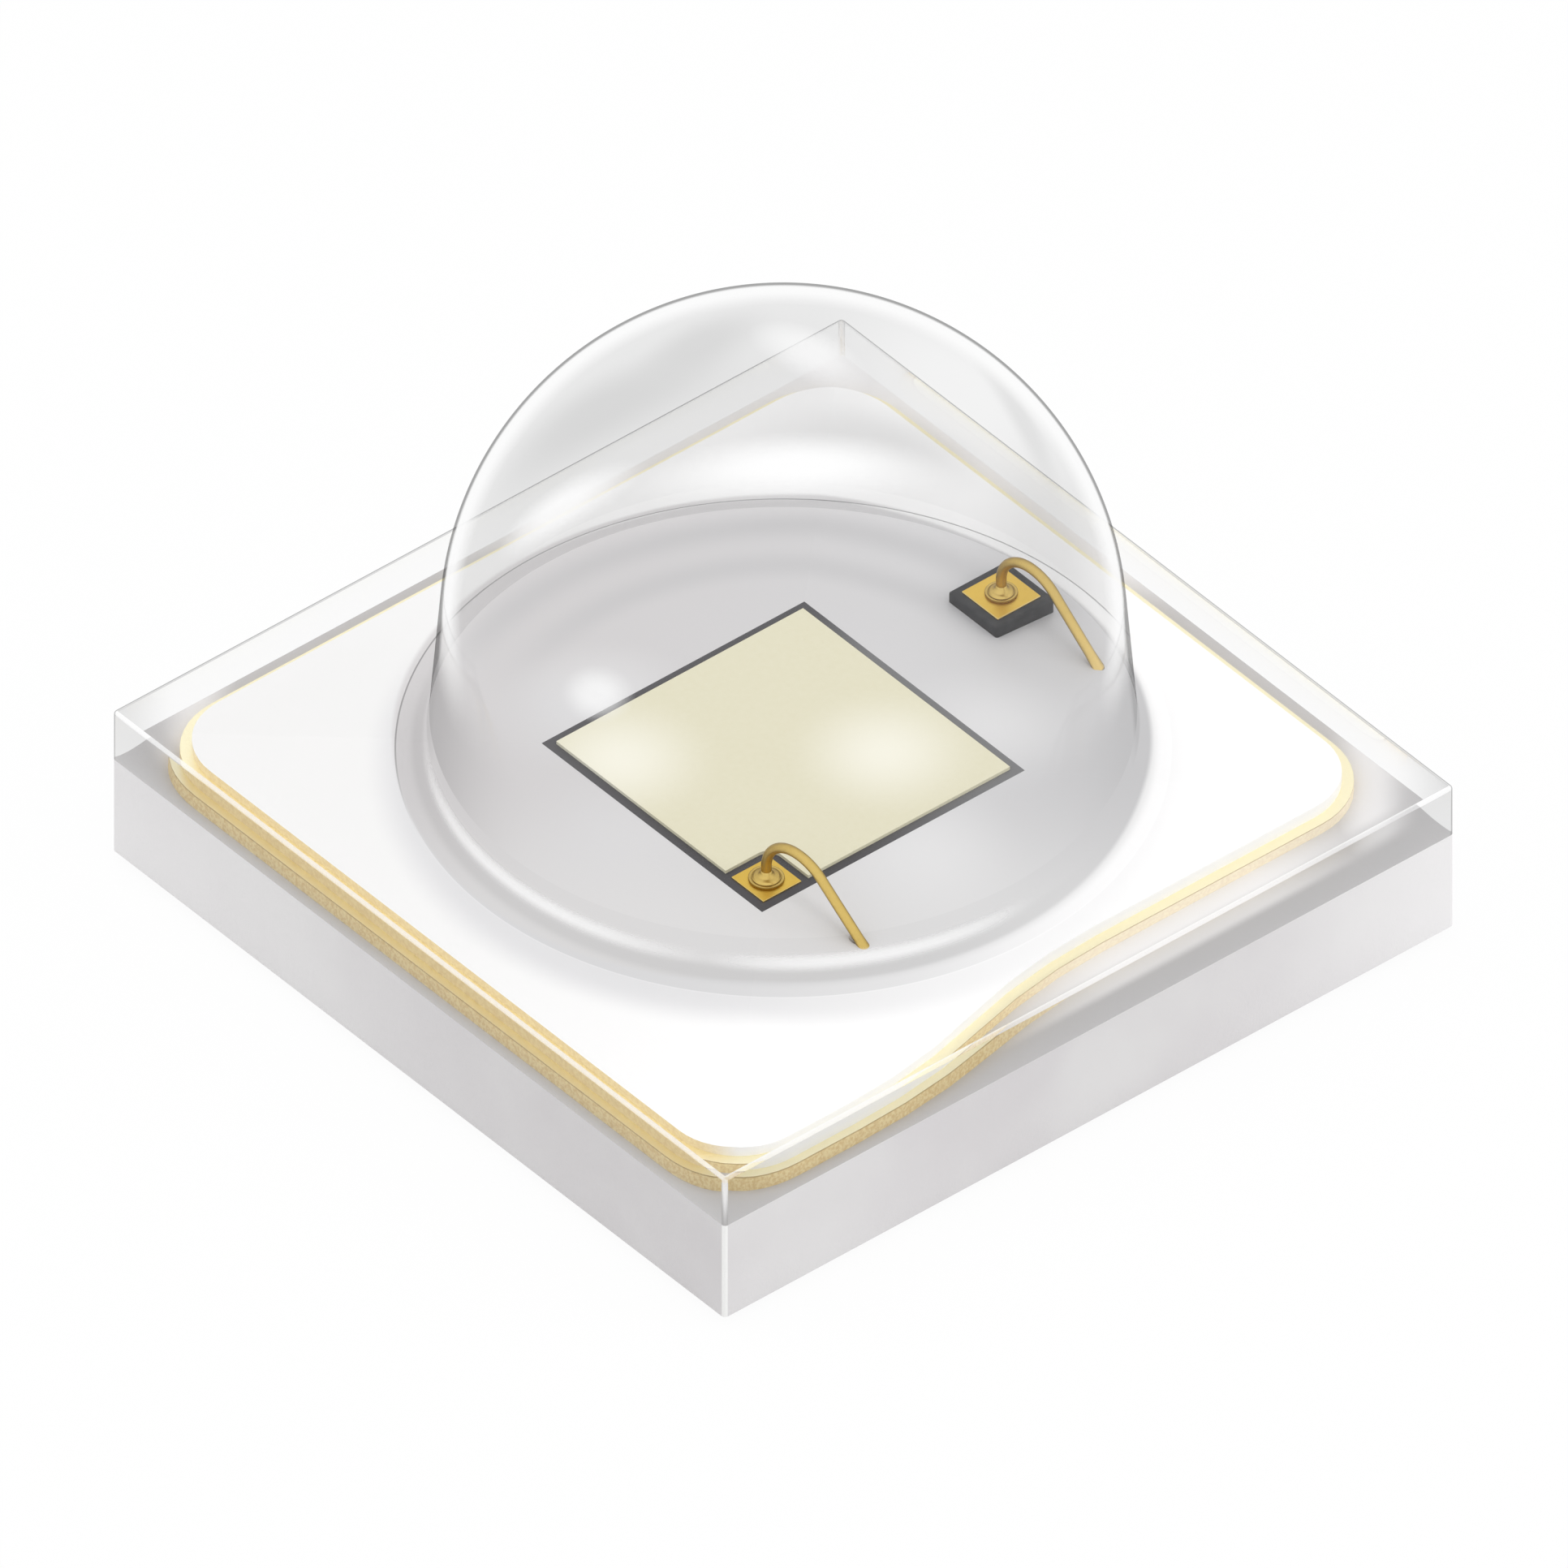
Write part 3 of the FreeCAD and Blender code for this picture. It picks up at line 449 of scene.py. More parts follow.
@dataclass(frozen=True)
class WhiteFill(Finish):
    """White filled silicone: nearly even, and gilded at its edge.

    It is darker to the left in painted shade, with painted shade under the dome, a painted shadow
    round the dome's foot and soft spots of painted light.
    """

    # Middles of spots of painted light, strong and weak.
    painted_light_places: tuple[Point, ...]
    faint_painted_light_places: tuple[Point, ...]
    light: Colour = (0.97, 0.965, 0.965)
    dark: Colour = (0.86, 0.855, 0.85)
    # Colours of the painted shade under the dome and of the painted shadow round its foot.
    shaded_left: Colour = (0.68, 0.66, 0.665)
    shaded_right: Colour = (0.695, 0.69, 0.7)
    painted_shade_band: Colour = (0.56, 0.555, 0.565)
    band_radii: Span = (0.84, 1.05)
    band_half: float = 0.1
    painted_foot_shadow: Colour = (0.76, 0.755, 0.765)
    gilded: Colour = (0.95, 0.78, 0.46)
    gilded_dark: Colour = (0.86, 0.67, 0.37)
    shade_back: float = 0.119
    shade_left: float = 0.035
    shade_rim: Span = (1.185, 1.205)
    ring_rim: Span = (1.21, 1.33)
    ring_back: Span = (0.2, 0.8)
    painted_light_reach: float = 0.37 * MM
    soft_share: float = 0.5
    cloud_per_mm: float = 0.9
    cloud_share: float = 0.3
    light_across: Span = (-1.8, 0.4)
    ring_across: Span = (-0.8, 1.2)
    ring_fade: float = 0.85
    shade_across: Span = (-1.1, 1.0)
    front_span: Span = (0.0, 0.8)
    right_span: Span = (0.35, 0.85)
    band_back: Span = (0.3, 0.8)
    gilt_per_mm: float = 80.0
    gilt_turned: Span = (0.6, 1.0)
    grain_per_mm: float = 70.0
    roughness: float = 0.4
    spread: float = 0.2
    relief: float = 0.0003 * MM

    def shade(self, graph: Graph) -> Socket:
        """Shader of the finish.

        Args:
            graph: the graph that its nodes are made in.

        Returns:
            The shader's socket.
        """
        place = graph.place()
        x, y, _ = graph.axes(place)
        cloud = graph.noise(place, self.cloud_per_mm)
        along, across = rearward(x, y), rightward(x, y)
        # Darker to the left in painted shade, with random clouding.
        light = across.step(*self.light_across) + (cloud - 0.5) * self.cloud_share
        colour = graph.blend(light, self.dark, self.light)
        # Painted shadow round the dome's foot, longer in front and weaker to the right.
        ring = graph.length(along, across).fall(*self.ring_rim) * along.fall(*self.ring_back)
        ring = ring * (1 - across.step(*self.ring_across) * self.ring_fade)
        colour = graph.blend(ring, colour, self.painted_foot_shadow)
        # Painted shade under the dome: lighter in front, darker to the right and in two bands
        # behind.
        away = graph.length(along - self.shade_back, across + self.shade_left)
        side = across.step(*self.shade_across)
        shaded = graph.blend(side, self.shaded_left, self.shaded_right)
        front = (-along).step(*self.front_span)
        shaded = graph.blend(front * self.soft_share, shaded, self.dark)
        right = across.step(*self.right_span) * (1 - front)
        shaded = graph.blend(right * self.soft_share, shaded, self.painted_shade_band)
        for radius in self.band_radii:
            banded = abs(away - radius).fall(0.0, self.band_half) * along.step(*self.band_back)
            shaded = graph.blend(banded * self.soft_share, shaded, self.painted_shade_band)
        # Spots of painted light, where the painted shade under the dome gives way.
        faint_painted_light = soft_spots(graph, place, self.faint_painted_light_places, self.painted_light_reach) * self.soft_share
        lit = graph.most(soft_spots(graph, place, self.painted_light_places, self.painted_light_reach), faint_painted_light)
        colour = graph.blend(away.fall(*self.shade_rim) * (1 - lit), colour, shaded)
        grain = graph.noise(place, self.gilt_per_mm).step(*ABOUT_HALF)
        gilt = graph.blend(grain, self.gilded, self.gilded_dark)
        colour = graph.blend((-graph.normal()[0]).step(*self.gilt_turned), colour, gilt)
        fine = graph.noise(place, self.grain_per_mm)
        return graph.grained(colour, fine, self.relief, cloud.about(self.roughness, self.spread))


@dataclass(frozen=True)
class GoldPlating(Finish):
    """Gold plating on copper: grained and warmer down its sides.

    Its top is painted lighter than its sides, as lit and shaded copies of one gold, and the side
    that faces -Y, right of the middle, gets painted light.
    """

    top: float
    # Colour of the top, painted lighter than the sides.
    painted_lit_top: Colour = (1.0, 0.93, 0.66)
    warm: Colour = (0.98, 0.82, 0.46)
    deep: Colour = (0.84, 0.63, 0.31)
    # Painted light on the side that faces -Y, right of the middle.
    painted_light: Colour = (1.0, 0.95, 0.84)
    pale_share: float = 0.6
    line: Colour = (0.45, 0.31, 0.14)
    line_share: float = 0.7
    line_width: float = 0.003
    grain_per_mm: float = 90.0
    grain_span: Span = (0.35, 0.65)
    pale_turned: Span = (0.4, 0.9)
    pale_right: Span = (-0.4, 0.2)
    flat_span: Span = (0.4, 0.8)
    side_metallic: float = 0.2
    roughness: float = 0.38
    spread: float = 0.3
    relief: float = 0.0012 * MM

    def shade(self, graph: Graph) -> Socket:
        """Shader of the finish.

        Args:
            graph: the graph that its nodes are made in.

        Returns:
            The shader's socket.
        """
        place = graph.place()
        x, _, z = graph.axes(place)
        _, normal_y, up = graph.normal()
        grain = graph.noise(place, self.grain_per_mm, 3.0)
        side = graph.blend(grain.step(*self.grain_span), self.deep, self.warm)
        # Painted light on the side that faces -Y, right of the middle.
        turned = (-normal_y).step(*self.pale_turned) * x.step(*self.pale_right)
        side = graph.blend(turned * self.pale_share, side, self.painted_light)
        line_top = self.top / MM - self.line_width
        top_edge = z.step(line_top - self.line_width, line_top)
        side = graph.blend(top_edge * self.line_share, side, self.line)
        # The top is painted lighter than the sides, as lit and shaded copies of one gold.
        flat = abs(up).step(*self.flat_span)
        colour = graph.blend(flat, side, self.painted_lit_top)
        rough = grain.about(self.roughness, self.spread)
        metal = flat * (1 - self.side_metallic) + self.side_metallic
        return graph.grained(colour, grain, self.relief, rough, Metallic=metal)


@dataclass(frozen=True)
class BondGold(Finish):
    """Gold of a wire or its pad: satin, browner underneath, with dark rings round a ball bond.

    The browner underside, the darker sides where it turns edge on and the dark rings at the
    ball's groove and rim are painted shade; its bevels carry painted highlights.
    """

    centre: Point = (0.0, 0.0, 0.0)
    rings: tuple[float, ...] = ()
    ring_top: float = 0.0
    ring_line: Span = (0.0008, 0.0032)
    ring_fade: float = 0.004
    colour: Colour = (0.88, 0.64, 0.2)
    shadow: Colour = (0.26, 0.16, 0.04)
    # Colour of the painted highlight on the bevels.
    bevel: Colour = (1.0, 0.86, 0.5)
    painted_bevel_highlight_share: float = 0.0
    shade_from: float = 0.0
    roughness: float = 0.32
    marks_per_mm: float = 60.0
    marks_spread: float = 0.2
    turned_share: float = 0.85
    under_span: Span = (-0.7, 0.5)
    under_share: float = 0.7
    ring_share: float = 0.8
    bevel_rise: Span = (0.25, 0.6)
    bevel_fall: Span = (0.8, 0.95)
    relief: float = 0.0003 * MM

    def shade(self, graph: Graph) -> Socket:
        """Shader of the finish.

        Args:
            graph: the graph that its nodes are made in.

        Returns:
            The shader's socket.
        """
        place = graph.place()
        x, y, z = graph.axes(place)
        marks = graph.noise(place, self.marks_per_mm)
        up = graph.normal()[2]
        # Painted shade where it turns edge on, underneath, and in rings at the ball's groove and
        # rim.
        turned = graph.facing().step(self.shade_from, 0.8) * self.turned_share
        dark = graph.most(turned, up.fall(*self.under_span) * self.under_share)
        away = graph.length(x - self.centre[0] / MM, y - self.centre[1] / MM)
        low = z.fall(self.ring_top / MM, self.ring_top / MM + self.ring_fade)
        for radius in self.rings:
            line = abs(away - radius / MM).fall(*self.ring_line)
            dark = graph.most(dark, line * low * self.ring_share)
        dark = dark + (marks - 0.5) * self.marks_spread
        # Painted highlight on the slanted bevels.
        slanted = up.hump(self.bevel_rise, self.bevel_fall)
        colour = graph.blend(slanted * self.painted_bevel_highlight_share, self.colour, self.bevel)
        colour = graph.blend(dark, colour, self.shadow)
        rough = marks.about(self.roughness, self.marks_spread)
        return graph.grained(colour, marks, self.relief, rough, Metallic=1.0)


@dataclass(frozen=True)
class DarkChip(Finish):
    """Dark flank and rim of the chip, with painted light towards its +X edge."""

    reach: float
    dark: Colour = (0.085, 0.082, 0.088)
    light: Colour = (0.2, 0.2, 0.205)
    lift_from: float = -0.4
    lift_to: float = 0.3
    lift_spread: float = 0.1
    fine_per_mm: float = 25.0
    roughness: float = 0.5
    spread: float = 0.2
    specular: float = 0.3
    relief: float = 0.0004 * MM

    def shade(self, graph: Graph) -> Socket:
        """Shader of the finish.

        Args:
            graph: the graph that its nodes are made in.

        Returns:
            The shader's socket.
        """
        place = graph.place()
        x, y, _ = graph.axes(place)
        fine = graph.noise(place, self.fine_per_mm)
        edge = self.reach / MM
        # Painted light towards the +X edge, fading towards +Y, with a little random tone.
        painted_edge_light = x.step(self.lift_from * edge, edge) * y.fall(self.lift_to * edge, edge)
        painted_edge_light = painted_edge_light + (fine - 0.5) * self.lift_spread
        colour = graph.blend(painted_edge_light, self.dark, self.light)
        rough = fine.about(self.roughness, self.spread)
        inputs = {"Specular_IOR_Level": self.specular}
        return graph.grained(colour, fine, self.relief, rough, **inputs)


@dataclass(frozen=True)
class PhosphorPlate(Finish):
    """Cream phosphor in a satin ceramic plate, with painted light in two soft places."""

    painted_light_places: tuple[Point, ...]
    body: Colour = (0.79, 0.75, 0.545)
    # Light colour of the painted light, also given in random specks.
    painted_light_and_specks: Colour = (0.98, 0.955, 0.82)
    painted_light_reach: float = 0.34 * MM
    fine_per_mm: float = 45.0
    fine_share: float = 0.12
    fine_spread: float = 0.25
    roughness: float = 0.5
    spread: float = 0.2
    relief: float = 0.0005 * MM

    def shade(self, graph: Graph) -> Socket:
        """Shader of the finish.

        Args:
            graph: the graph that its nodes are made in.

        Returns:
            The shader's socket.
        """
        place = graph.place()
        fine = graph.noise(place, self.fine_per_mm, 3.0)
        # Two soft spots of painted light, then random specks of the same colour.
        lit = soft_spots(graph, place, self.painted_light_places, self.painted_light_reach)
        colour = graph.blend(lit, self.body, self.painted_light_and_specks)
        colour = graph.blend(fine.about(self.fine_share, self.fine_spread), colour, self.painted_light_and_specks)
        return graph.grained(colour, fine, self.relief, fine.about(self.roughness, self.spread))


def soft_spots(graph: Graph, place: Socket, centres: Sequence[Point], reach: float) -> Signal:
    """Soft round spots.

    Args:
        graph: the graph that they are made in.
        place: the place on the piece, in millimetres.
        centres: the middle of each spot, in metres.
        reach: how far a spot fades, in metres.

    Returns:
        One in the middle of a spot, and nothing away from them.
    """
    total: Number = 0.0
    for centre in centres:
        middle = tuple(value / MM for value in centre)
        total = graph.measure("DISTANCE", place, middle).fall(0.0, reach / MM) + total
    return graph.maths("MINIMUM", total, 1.0)


@dataclass(frozen=True)
class Streak:
    """Soft long patch on the dome, set by the direction out of the dome's middle.

    The dome takes such patches for painted highlights, painted shade and painted light. Angles
    are in degrees and the half length and half width in radii of the dome.
    """

    azimuth: float
    elevation: float
    tilt: float
    length: float
    width: float
    strength: float

    def frame(self) -> tuple[Vector, Vector, Vector]:
        """Directions that the streak is laid out by.

        Returns:
            The directions out of the dome, along the streak and across it.
        """
        azimuth, elevation = math.radians(self.azimuth), math.radians(self.elevation)
        level = math.cos(elevation)
        out = Vector((math.cos(azimuth) * level, math.sin(azimuth) * level, math.sin(elevation)))
        east = Vector((-math.sin(azimuth), math.cos(azimuth), 0.0))
        along = Quaternion(out, math.radians(self.tilt)) @ east
        return out, along, out.cross(along)

    def mask(self, graph: Graph, direction: Socket) -> Signal:
        """Strength over the dome.

        Args:
            graph: the graph that it is made in.
            direction: the direction from the dome's middle, of length one.

        Returns:
            The strength in the middle of the streak, and nothing away from it.
        """
        out, along, across = self.frame()
        front = graph.measure("DOT_PRODUCT", direction, out)
        run = graph.measure("DOT_PRODUCT", direction, along / self.length)
        rise = graph.measure("DOT_PRODUCT", direction, across / self.width)
        return graph.length(run, rise).fall(0.15, 1.0) * front.step(0.0, 0.1) * self.strength


@dataclass(frozen=True)
class ClearDome(Finish):
    """Clear silicone of the dome: shows what is behind it, with a gloss and a painted soft grey
    outline.

    Long patches of painted highlight lie on it, with a painted reflection round its rim; patches
    of painted shade grey it and patches of painted light clear it, and its lower sides are
    painted darker, less on the right.
    """

    middle: Point
    # Long patches of painted highlight, then patches of painted shade and of painted light.
    painted_highlight_streaks: tuple[Streak, ...] = ()
    painted_shade_places: tuple[Streak, ...] = ()
    painted_bright_places: tuple[Streak, ...] = ()
    tint: float = 0.89
    painted_shade_tint: float = 0.75
    # Tint of the painted shade low on the sides.
    low_shade_tint: float = 0.66
    shade_level: float = 0.95
    index: float = 1.42
    # Tint of the painted grey outline.
    outline: float = 0.62
    outline_span: Span = (0.84, 0.9)
    # Strength of the painted reflection round the rim.
    halo: float = 0.9
    halo_span: Span = (0.6, 0.78)
    low_span: Span = (0.4, 0.85)
    round_from: Span = (-0.15, 0.2)
    right_span: Span = (0.3, 1.0)
    right_fade: float = 0.6
    gloss_roughness: float = 0.1

    def shade(self, graph: Graph) -> Socket:
        """Shader of the finish.

        Args:
            graph: the graph that its nodes are made in.

        Returns:
            The shader's socket.
        """
        outer = 1 - graph.inside()
        facing = graph.facing()
        place = graph.place()
        away = graph.vector("SUBTRACT", place, tuple(value / MM for value in self.middle))
        direction = graph.vector("NORMALIZE", away)
        round_part = graph.axes(away)[2].step(*self.round_from)
        # Gloss from the index, raised round the rim by a painted reflection.
        shine = graph.most(graph.mirror(self.index), facing.step(*self.halo_span) * self.halo)
        shine = shine * round_part
        x, y, _ = graph.axes(place)
        # Painted shade low on the sides, less on the right.
        low = facing.step(*self.low_span) * (1 - round_part) * outer
        low = low * (1 - rightward(x, y).step(*self.right_span) * self.right_fade)
        skin = graph.layer(low, graph.clear(self.tint), graph.clear(self.low_shade_tint))
        # Patches of painted light clear the dome, and patches of painted shade grey it.
        patches = [(patch, 1.0) for patch in self.painted_bright_places]
        patches += [(patch, self.painted_shade_tint) for patch in self.painted_shade_places]
        for patch, tint in patches:
            skin = graph.layer(patch.mask(graph, direction) * outer, skin, graph.clear(tint))
        # Painted highlights along long patches.
        shine = graph.most(shine, *(streak.mask(graph, direction) for streak in self.painted_highlight_streaks))
        skin = graph.layer(shine * outer, skin, graph.gloss(self.gloss_roughness))
        # Painted grey outline where the surface turns edge on.
        skin = graph.layer(facing.step(*self.outline_span), skin, graph.clear(self.outline))
        return graph.lit_through(skin, self.shade_level)


@dataclass(frozen=True)
class ClearFoot(Finish):
    """Clear silicone of the dome's foot, greyed by painted shade.

    The shade is less behind and gone low on the right. A painted grey line runs near its root in
    front, and two lit lengths are painted highlights.
    """

    level: float
    # Tints of the painted shade: greyer in front, lighter behind.
    tint: float = 0.86
    pale_tint: float = 0.92
    # Tint of the painted grey line near the root.
    line: float = 0.76
    line_rise: Span = (0.004, 0.02)
    line_fall: Span = (0.035, 0.06)
    outline_span: Span = (0.78, 0.9)
    low_span: Span = (0.003, 0.018)
    # Where the two painted highlights run.
    lit_rise: Span = (0.03, 0.06)
    lit_fall: Span = (0.065, 0.1)
    lit_share: float = 0.7
    front: Span = (-0.42, -0.907)
    shade_level: float = 0.9
    back_span: Span = (0.0, 0.5)
    right_span: Span = (0.3, 1.1)
    left_turn: Span = (0.75, 1.0)
    front_turn: Span = (0.86, 1.0)
    gloss_roughness: float = 0.3

    def shade(self, graph: Graph) -> Socket:
        """Shader of the finish.

        Args:
            graph: the graph that its nodes are made in.

        Returns:
            The shader's socket.
        """
        x, y, z = graph.axes(graph.place())
        outer = 1 - graph.inside()
        height = z - self.level / MM
        back = rearward(x, y).step(*self.back_span)
        right = rightward(x, y).step(*self.right_span)
        # Painted shade greys the foot, less behind and not low on the right.
        clear = graph.layer(back, graph.clear(self.tint), graph.clear(self.pale_tint))
        clear = graph.layer(right * height.fall(*self.low_span), clear, graph.clear())
        # Painted grey line near the root and along the outline, in front only.
        line = height.hump(self.line_rise, self.line_fall) * (1 - right)
        line = graph.most(line, graph.facing().step(*self.outline_span)) * outer * (1 - back)
        skin = graph.layer(line, clear, graph.clear(self.line))
        # Painted highlights along two lengths, on the left and in front.
        from_middle = graph.length(x, y)
        left = (-x / from_middle).step(*self.left_turn)
        ahead = (x * self.front[0] + y * self.front[1]) / from_middle
        lit = graph.most(left, ahead.step(*self.front_turn)) * outer * self.lit_share
        lit = lit * height.hump(self.lit_rise, self.lit_fall)
        skin = graph.layer(lit, skin, graph.gloss(self.gloss_roughness))
        return graph.lit_through(skin, self.shade_level)


@dataclass(frozen=True)
class ClearSlab(Finish):
    """Clear silicone of the slab: bends the view, and is a little grey from outside.

    Its two ends take a grey of their own, and a painted grey line runs along its far edges.
    """

    tint: float
    half: float
    end_tint: float = 0.8
    end_span: Span = (1.9, 2.1)
    index: float = 1.12
    # Tint of the painted grey line along the far edges.
    line: float = 0.72
    line_width: float = 0.007
    line_inset: float = 0.012
    corner_span: Span = (1.3, 1.7)
    corner_share: float = 0.75
    gloss_roughness: float = 0.03

    def shade(self, graph: Graph) -> Socket:
        """Shader of the finish.

        Args:
            graph: the graph that its nodes are made in.

        Returns:
            The shader's socket.
        """
        x, y, _ = graph.axes(graph.place())
        inside = graph.inside()
        ends = abs(rightward(x, y)).step(*self.end_span)
        tinted, painted_light = graph.bent(self.index, self.tint), graph.bent(self.index, self.end_tint)
        view = graph.layer(inside, graph.layer(ends, tinted, painted_light), graph.bent(self.index))
        gloss = graph.gloss(self.gloss_roughness)
        skin = graph.layer(graph.mirror(self.index), view, gloss)
        # Painted grey line along the two far edges, weaker near the far corner.
        reach = self.half / MM - self.line_inset
        line = graph.most(x, y).step(reach - self.line_width, reach - self.line_width / 2)
        line = line * (1 - (x + y).step(*self.corner_span) * self.corner_share) * (1 - inside)
        return graph.lit_through(graph.layer(line, skin, graph.clear(self.line)))


@dataclass(frozen=True)
class FootLine(Finish):
    """Hair line round the dome's foot, seen at the back only."""

    tint: float = 0.5
    back: Span = (-0.5, 0.1)
    right: Span = (1.0, 1.12)

    def shade(self, graph: Graph) -> Socket:
        """Shader of the finish.

        Args:
            graph: the graph that its nodes are made in.

        Returns:
            The shader's socket.
        """
        x, y, _ = graph.axes(graph.place())
        shown = rearward(x, y).step(*self.back) * rightward(x, y).fall(*self.right)
        return graph.lit_through(graph.layer(shown, graph.clear(), graph.clear(self.tint)))


@dataclass(frozen=True)
class ClearEdge(Finish):
    """Rounded edges of the slab: a painted highlight in front and above.

    They are painted grey where they turn away.
    """

    # Share of the painted highlight.
    painted_light: float = 0.65
    tint: float = 0.7
    above_span: Span = (0.1, 0.3)
    front_span: Span = (0.3, 0.6)
    front_fade: float = 0.5
    away_span: Span = (0.25, 0.6)
    gloss_roughness: float = 0.25

    def shade(self, graph: Graph) -> Socket:
        """Shader of the finish.

        Args:
            graph: the graph that its nodes are made in.

        Returns:
            The shader's socket.
        """
        _, normal_y, normal_z = graph.normal()
        # Painted highlight on the upright front edge and on faces turned up, less where they face
        # -Y.
        front = (-normal_y).step(*self.front_span) * self.front_fade
        above = normal_z.step(*self.above_span) * (1 - front)
        lit = graph.most(graph.front_edge(), above)
        gloss = graph.gloss(self.gloss_roughness)
        skin = graph.layer(lit * self.painted_light, graph.clear(), gloss)
        # Painted grey where the edge turns away.
        away = graph.facing().step(*self.away_span)
        skin = graph.layer(away, skin, graph.clear(self.tint))
        return graph.lit_through(skin)


class Zone(Enum):
    """Parts of the lens that differ in finish, by their place among its materials."""

    DOME = 0
    TOP = 1
    SIDE = 2
    EDGE = 3
    FOOT_LINE = 4
    FOOT = 5


def link_object(name: str, data: bpy.types.ID) -> Object:
    """Put an object into the scene.

    Args:
        name: the object's name.
        data: its mesh, lamp or camera.

    Returns:
        The object.
    """
    made = bpy.data.objects.new(name, data)
    bpy.context.scene.collection.objects.link(made)
    return made


def build_mesh(
    name: str,
    points: Sequence[Vector],
    faces: Sequence[Face],
    finishes: Sequence[Finish],
    zones: Sequence[int] | None = None,
) -> Object:
    """Make a smooth mesh object whose edges are sharp between its zones.

    Args:
        name: the object's name.
        points: its vertices.
        faces: the numbers of each face's vertices.
        finishes: its finishes, in the order of the zones.
        zones: the zone of each face, or nothing where it has only one.

    Returns:
        The object, riding on the part's body.
    """
    mesh = bpy.data.meshes.new(name)
    mesh.from_pydata(points, [], faces)
    for finish in finishes:
        mesh.materials.append(finish.material())
    mesh.polygons.foreach_set("use_smooth", [True] * len(mesh.polygons))
    if zones:
        mesh.polygons.foreach_set("material_index", zones)
    shape = bmesh.new()
    shape.from_mesh(mesh)
    bmesh.ops.recalc_face_normals(shape, faces=shape.faces)
    for edge in shape.edges:
        edge.smooth = len({face.material_index for face in edge.link_faces}) < 2
    shape.to_mesh(mesh)
    shape.free()
    made = link_object(name, mesh)
    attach(made, "root")
    return made


def arc(centre: Pair, radius: float, first: float, last: float, count: int) -> list[Pair]:
    """Points of an arc, both ends included.

    Args:
        centre: the arc's centre.
        radius: its radius.
        first: the angle of the first point, in degrees.
        last: the angle of the last point, in degrees.
        count: how many even steps part it.

    Returns:
        The points, in order.
    """
    angles = (math.radians(first + (last - first) * step / count) for step in range(count + 1))
    return [
        (centre[0] + radius * math.cos(angle), centre[1] + radius * math.sin(angle))
        for angle in angles
    ]


def stretch(start: Pair, end: Pair, count: int) -> list[Pair]:
    """Points that part a straight line evenly, its start left out and its end included."""
    shares = [step / count for step in range(1, count + 1)]
    return [tuple(a + (b - a) * share for a, b in zip(start, end)) for share in shares]


def ring_faces(start: int, rings: int, size: int) -> list[Face]:
    """Faces between closed rings of points.

    Args:
        start: the number of the first ring's first point.
        rings: how many rings there are.
        size: how many points each ring has.

    Returns:
        The numbers of each face's points, ring after ring.
    """
    faces = []
    for first in range(start, start + (rings - 1) * size, size):
        for index in range(size):
            after = (index + 1) % size
            faces.append((first + index, first + size + index, first + size + after, first + after))
    return faces


def turned_ring(radius: float, turns: Sequence[float]) -> list[Pair]:
    """Points at these angles on a circle about the origin."""
    return [(radius * math.cos(turn), radius * math.sin(turn)) for turn in turns]


@dataclass(frozen=True)
class Station:
    """One place round the slab's outline: a centre, and the direction out of it."""

    centre: Pair
    outward: Pair

    def at(self, reach: float) -> Pair:
        """Point of the outline at a distance from the centre."""
        return tuple(start + reach * way for start, way in zip(self.centre, self.outward))


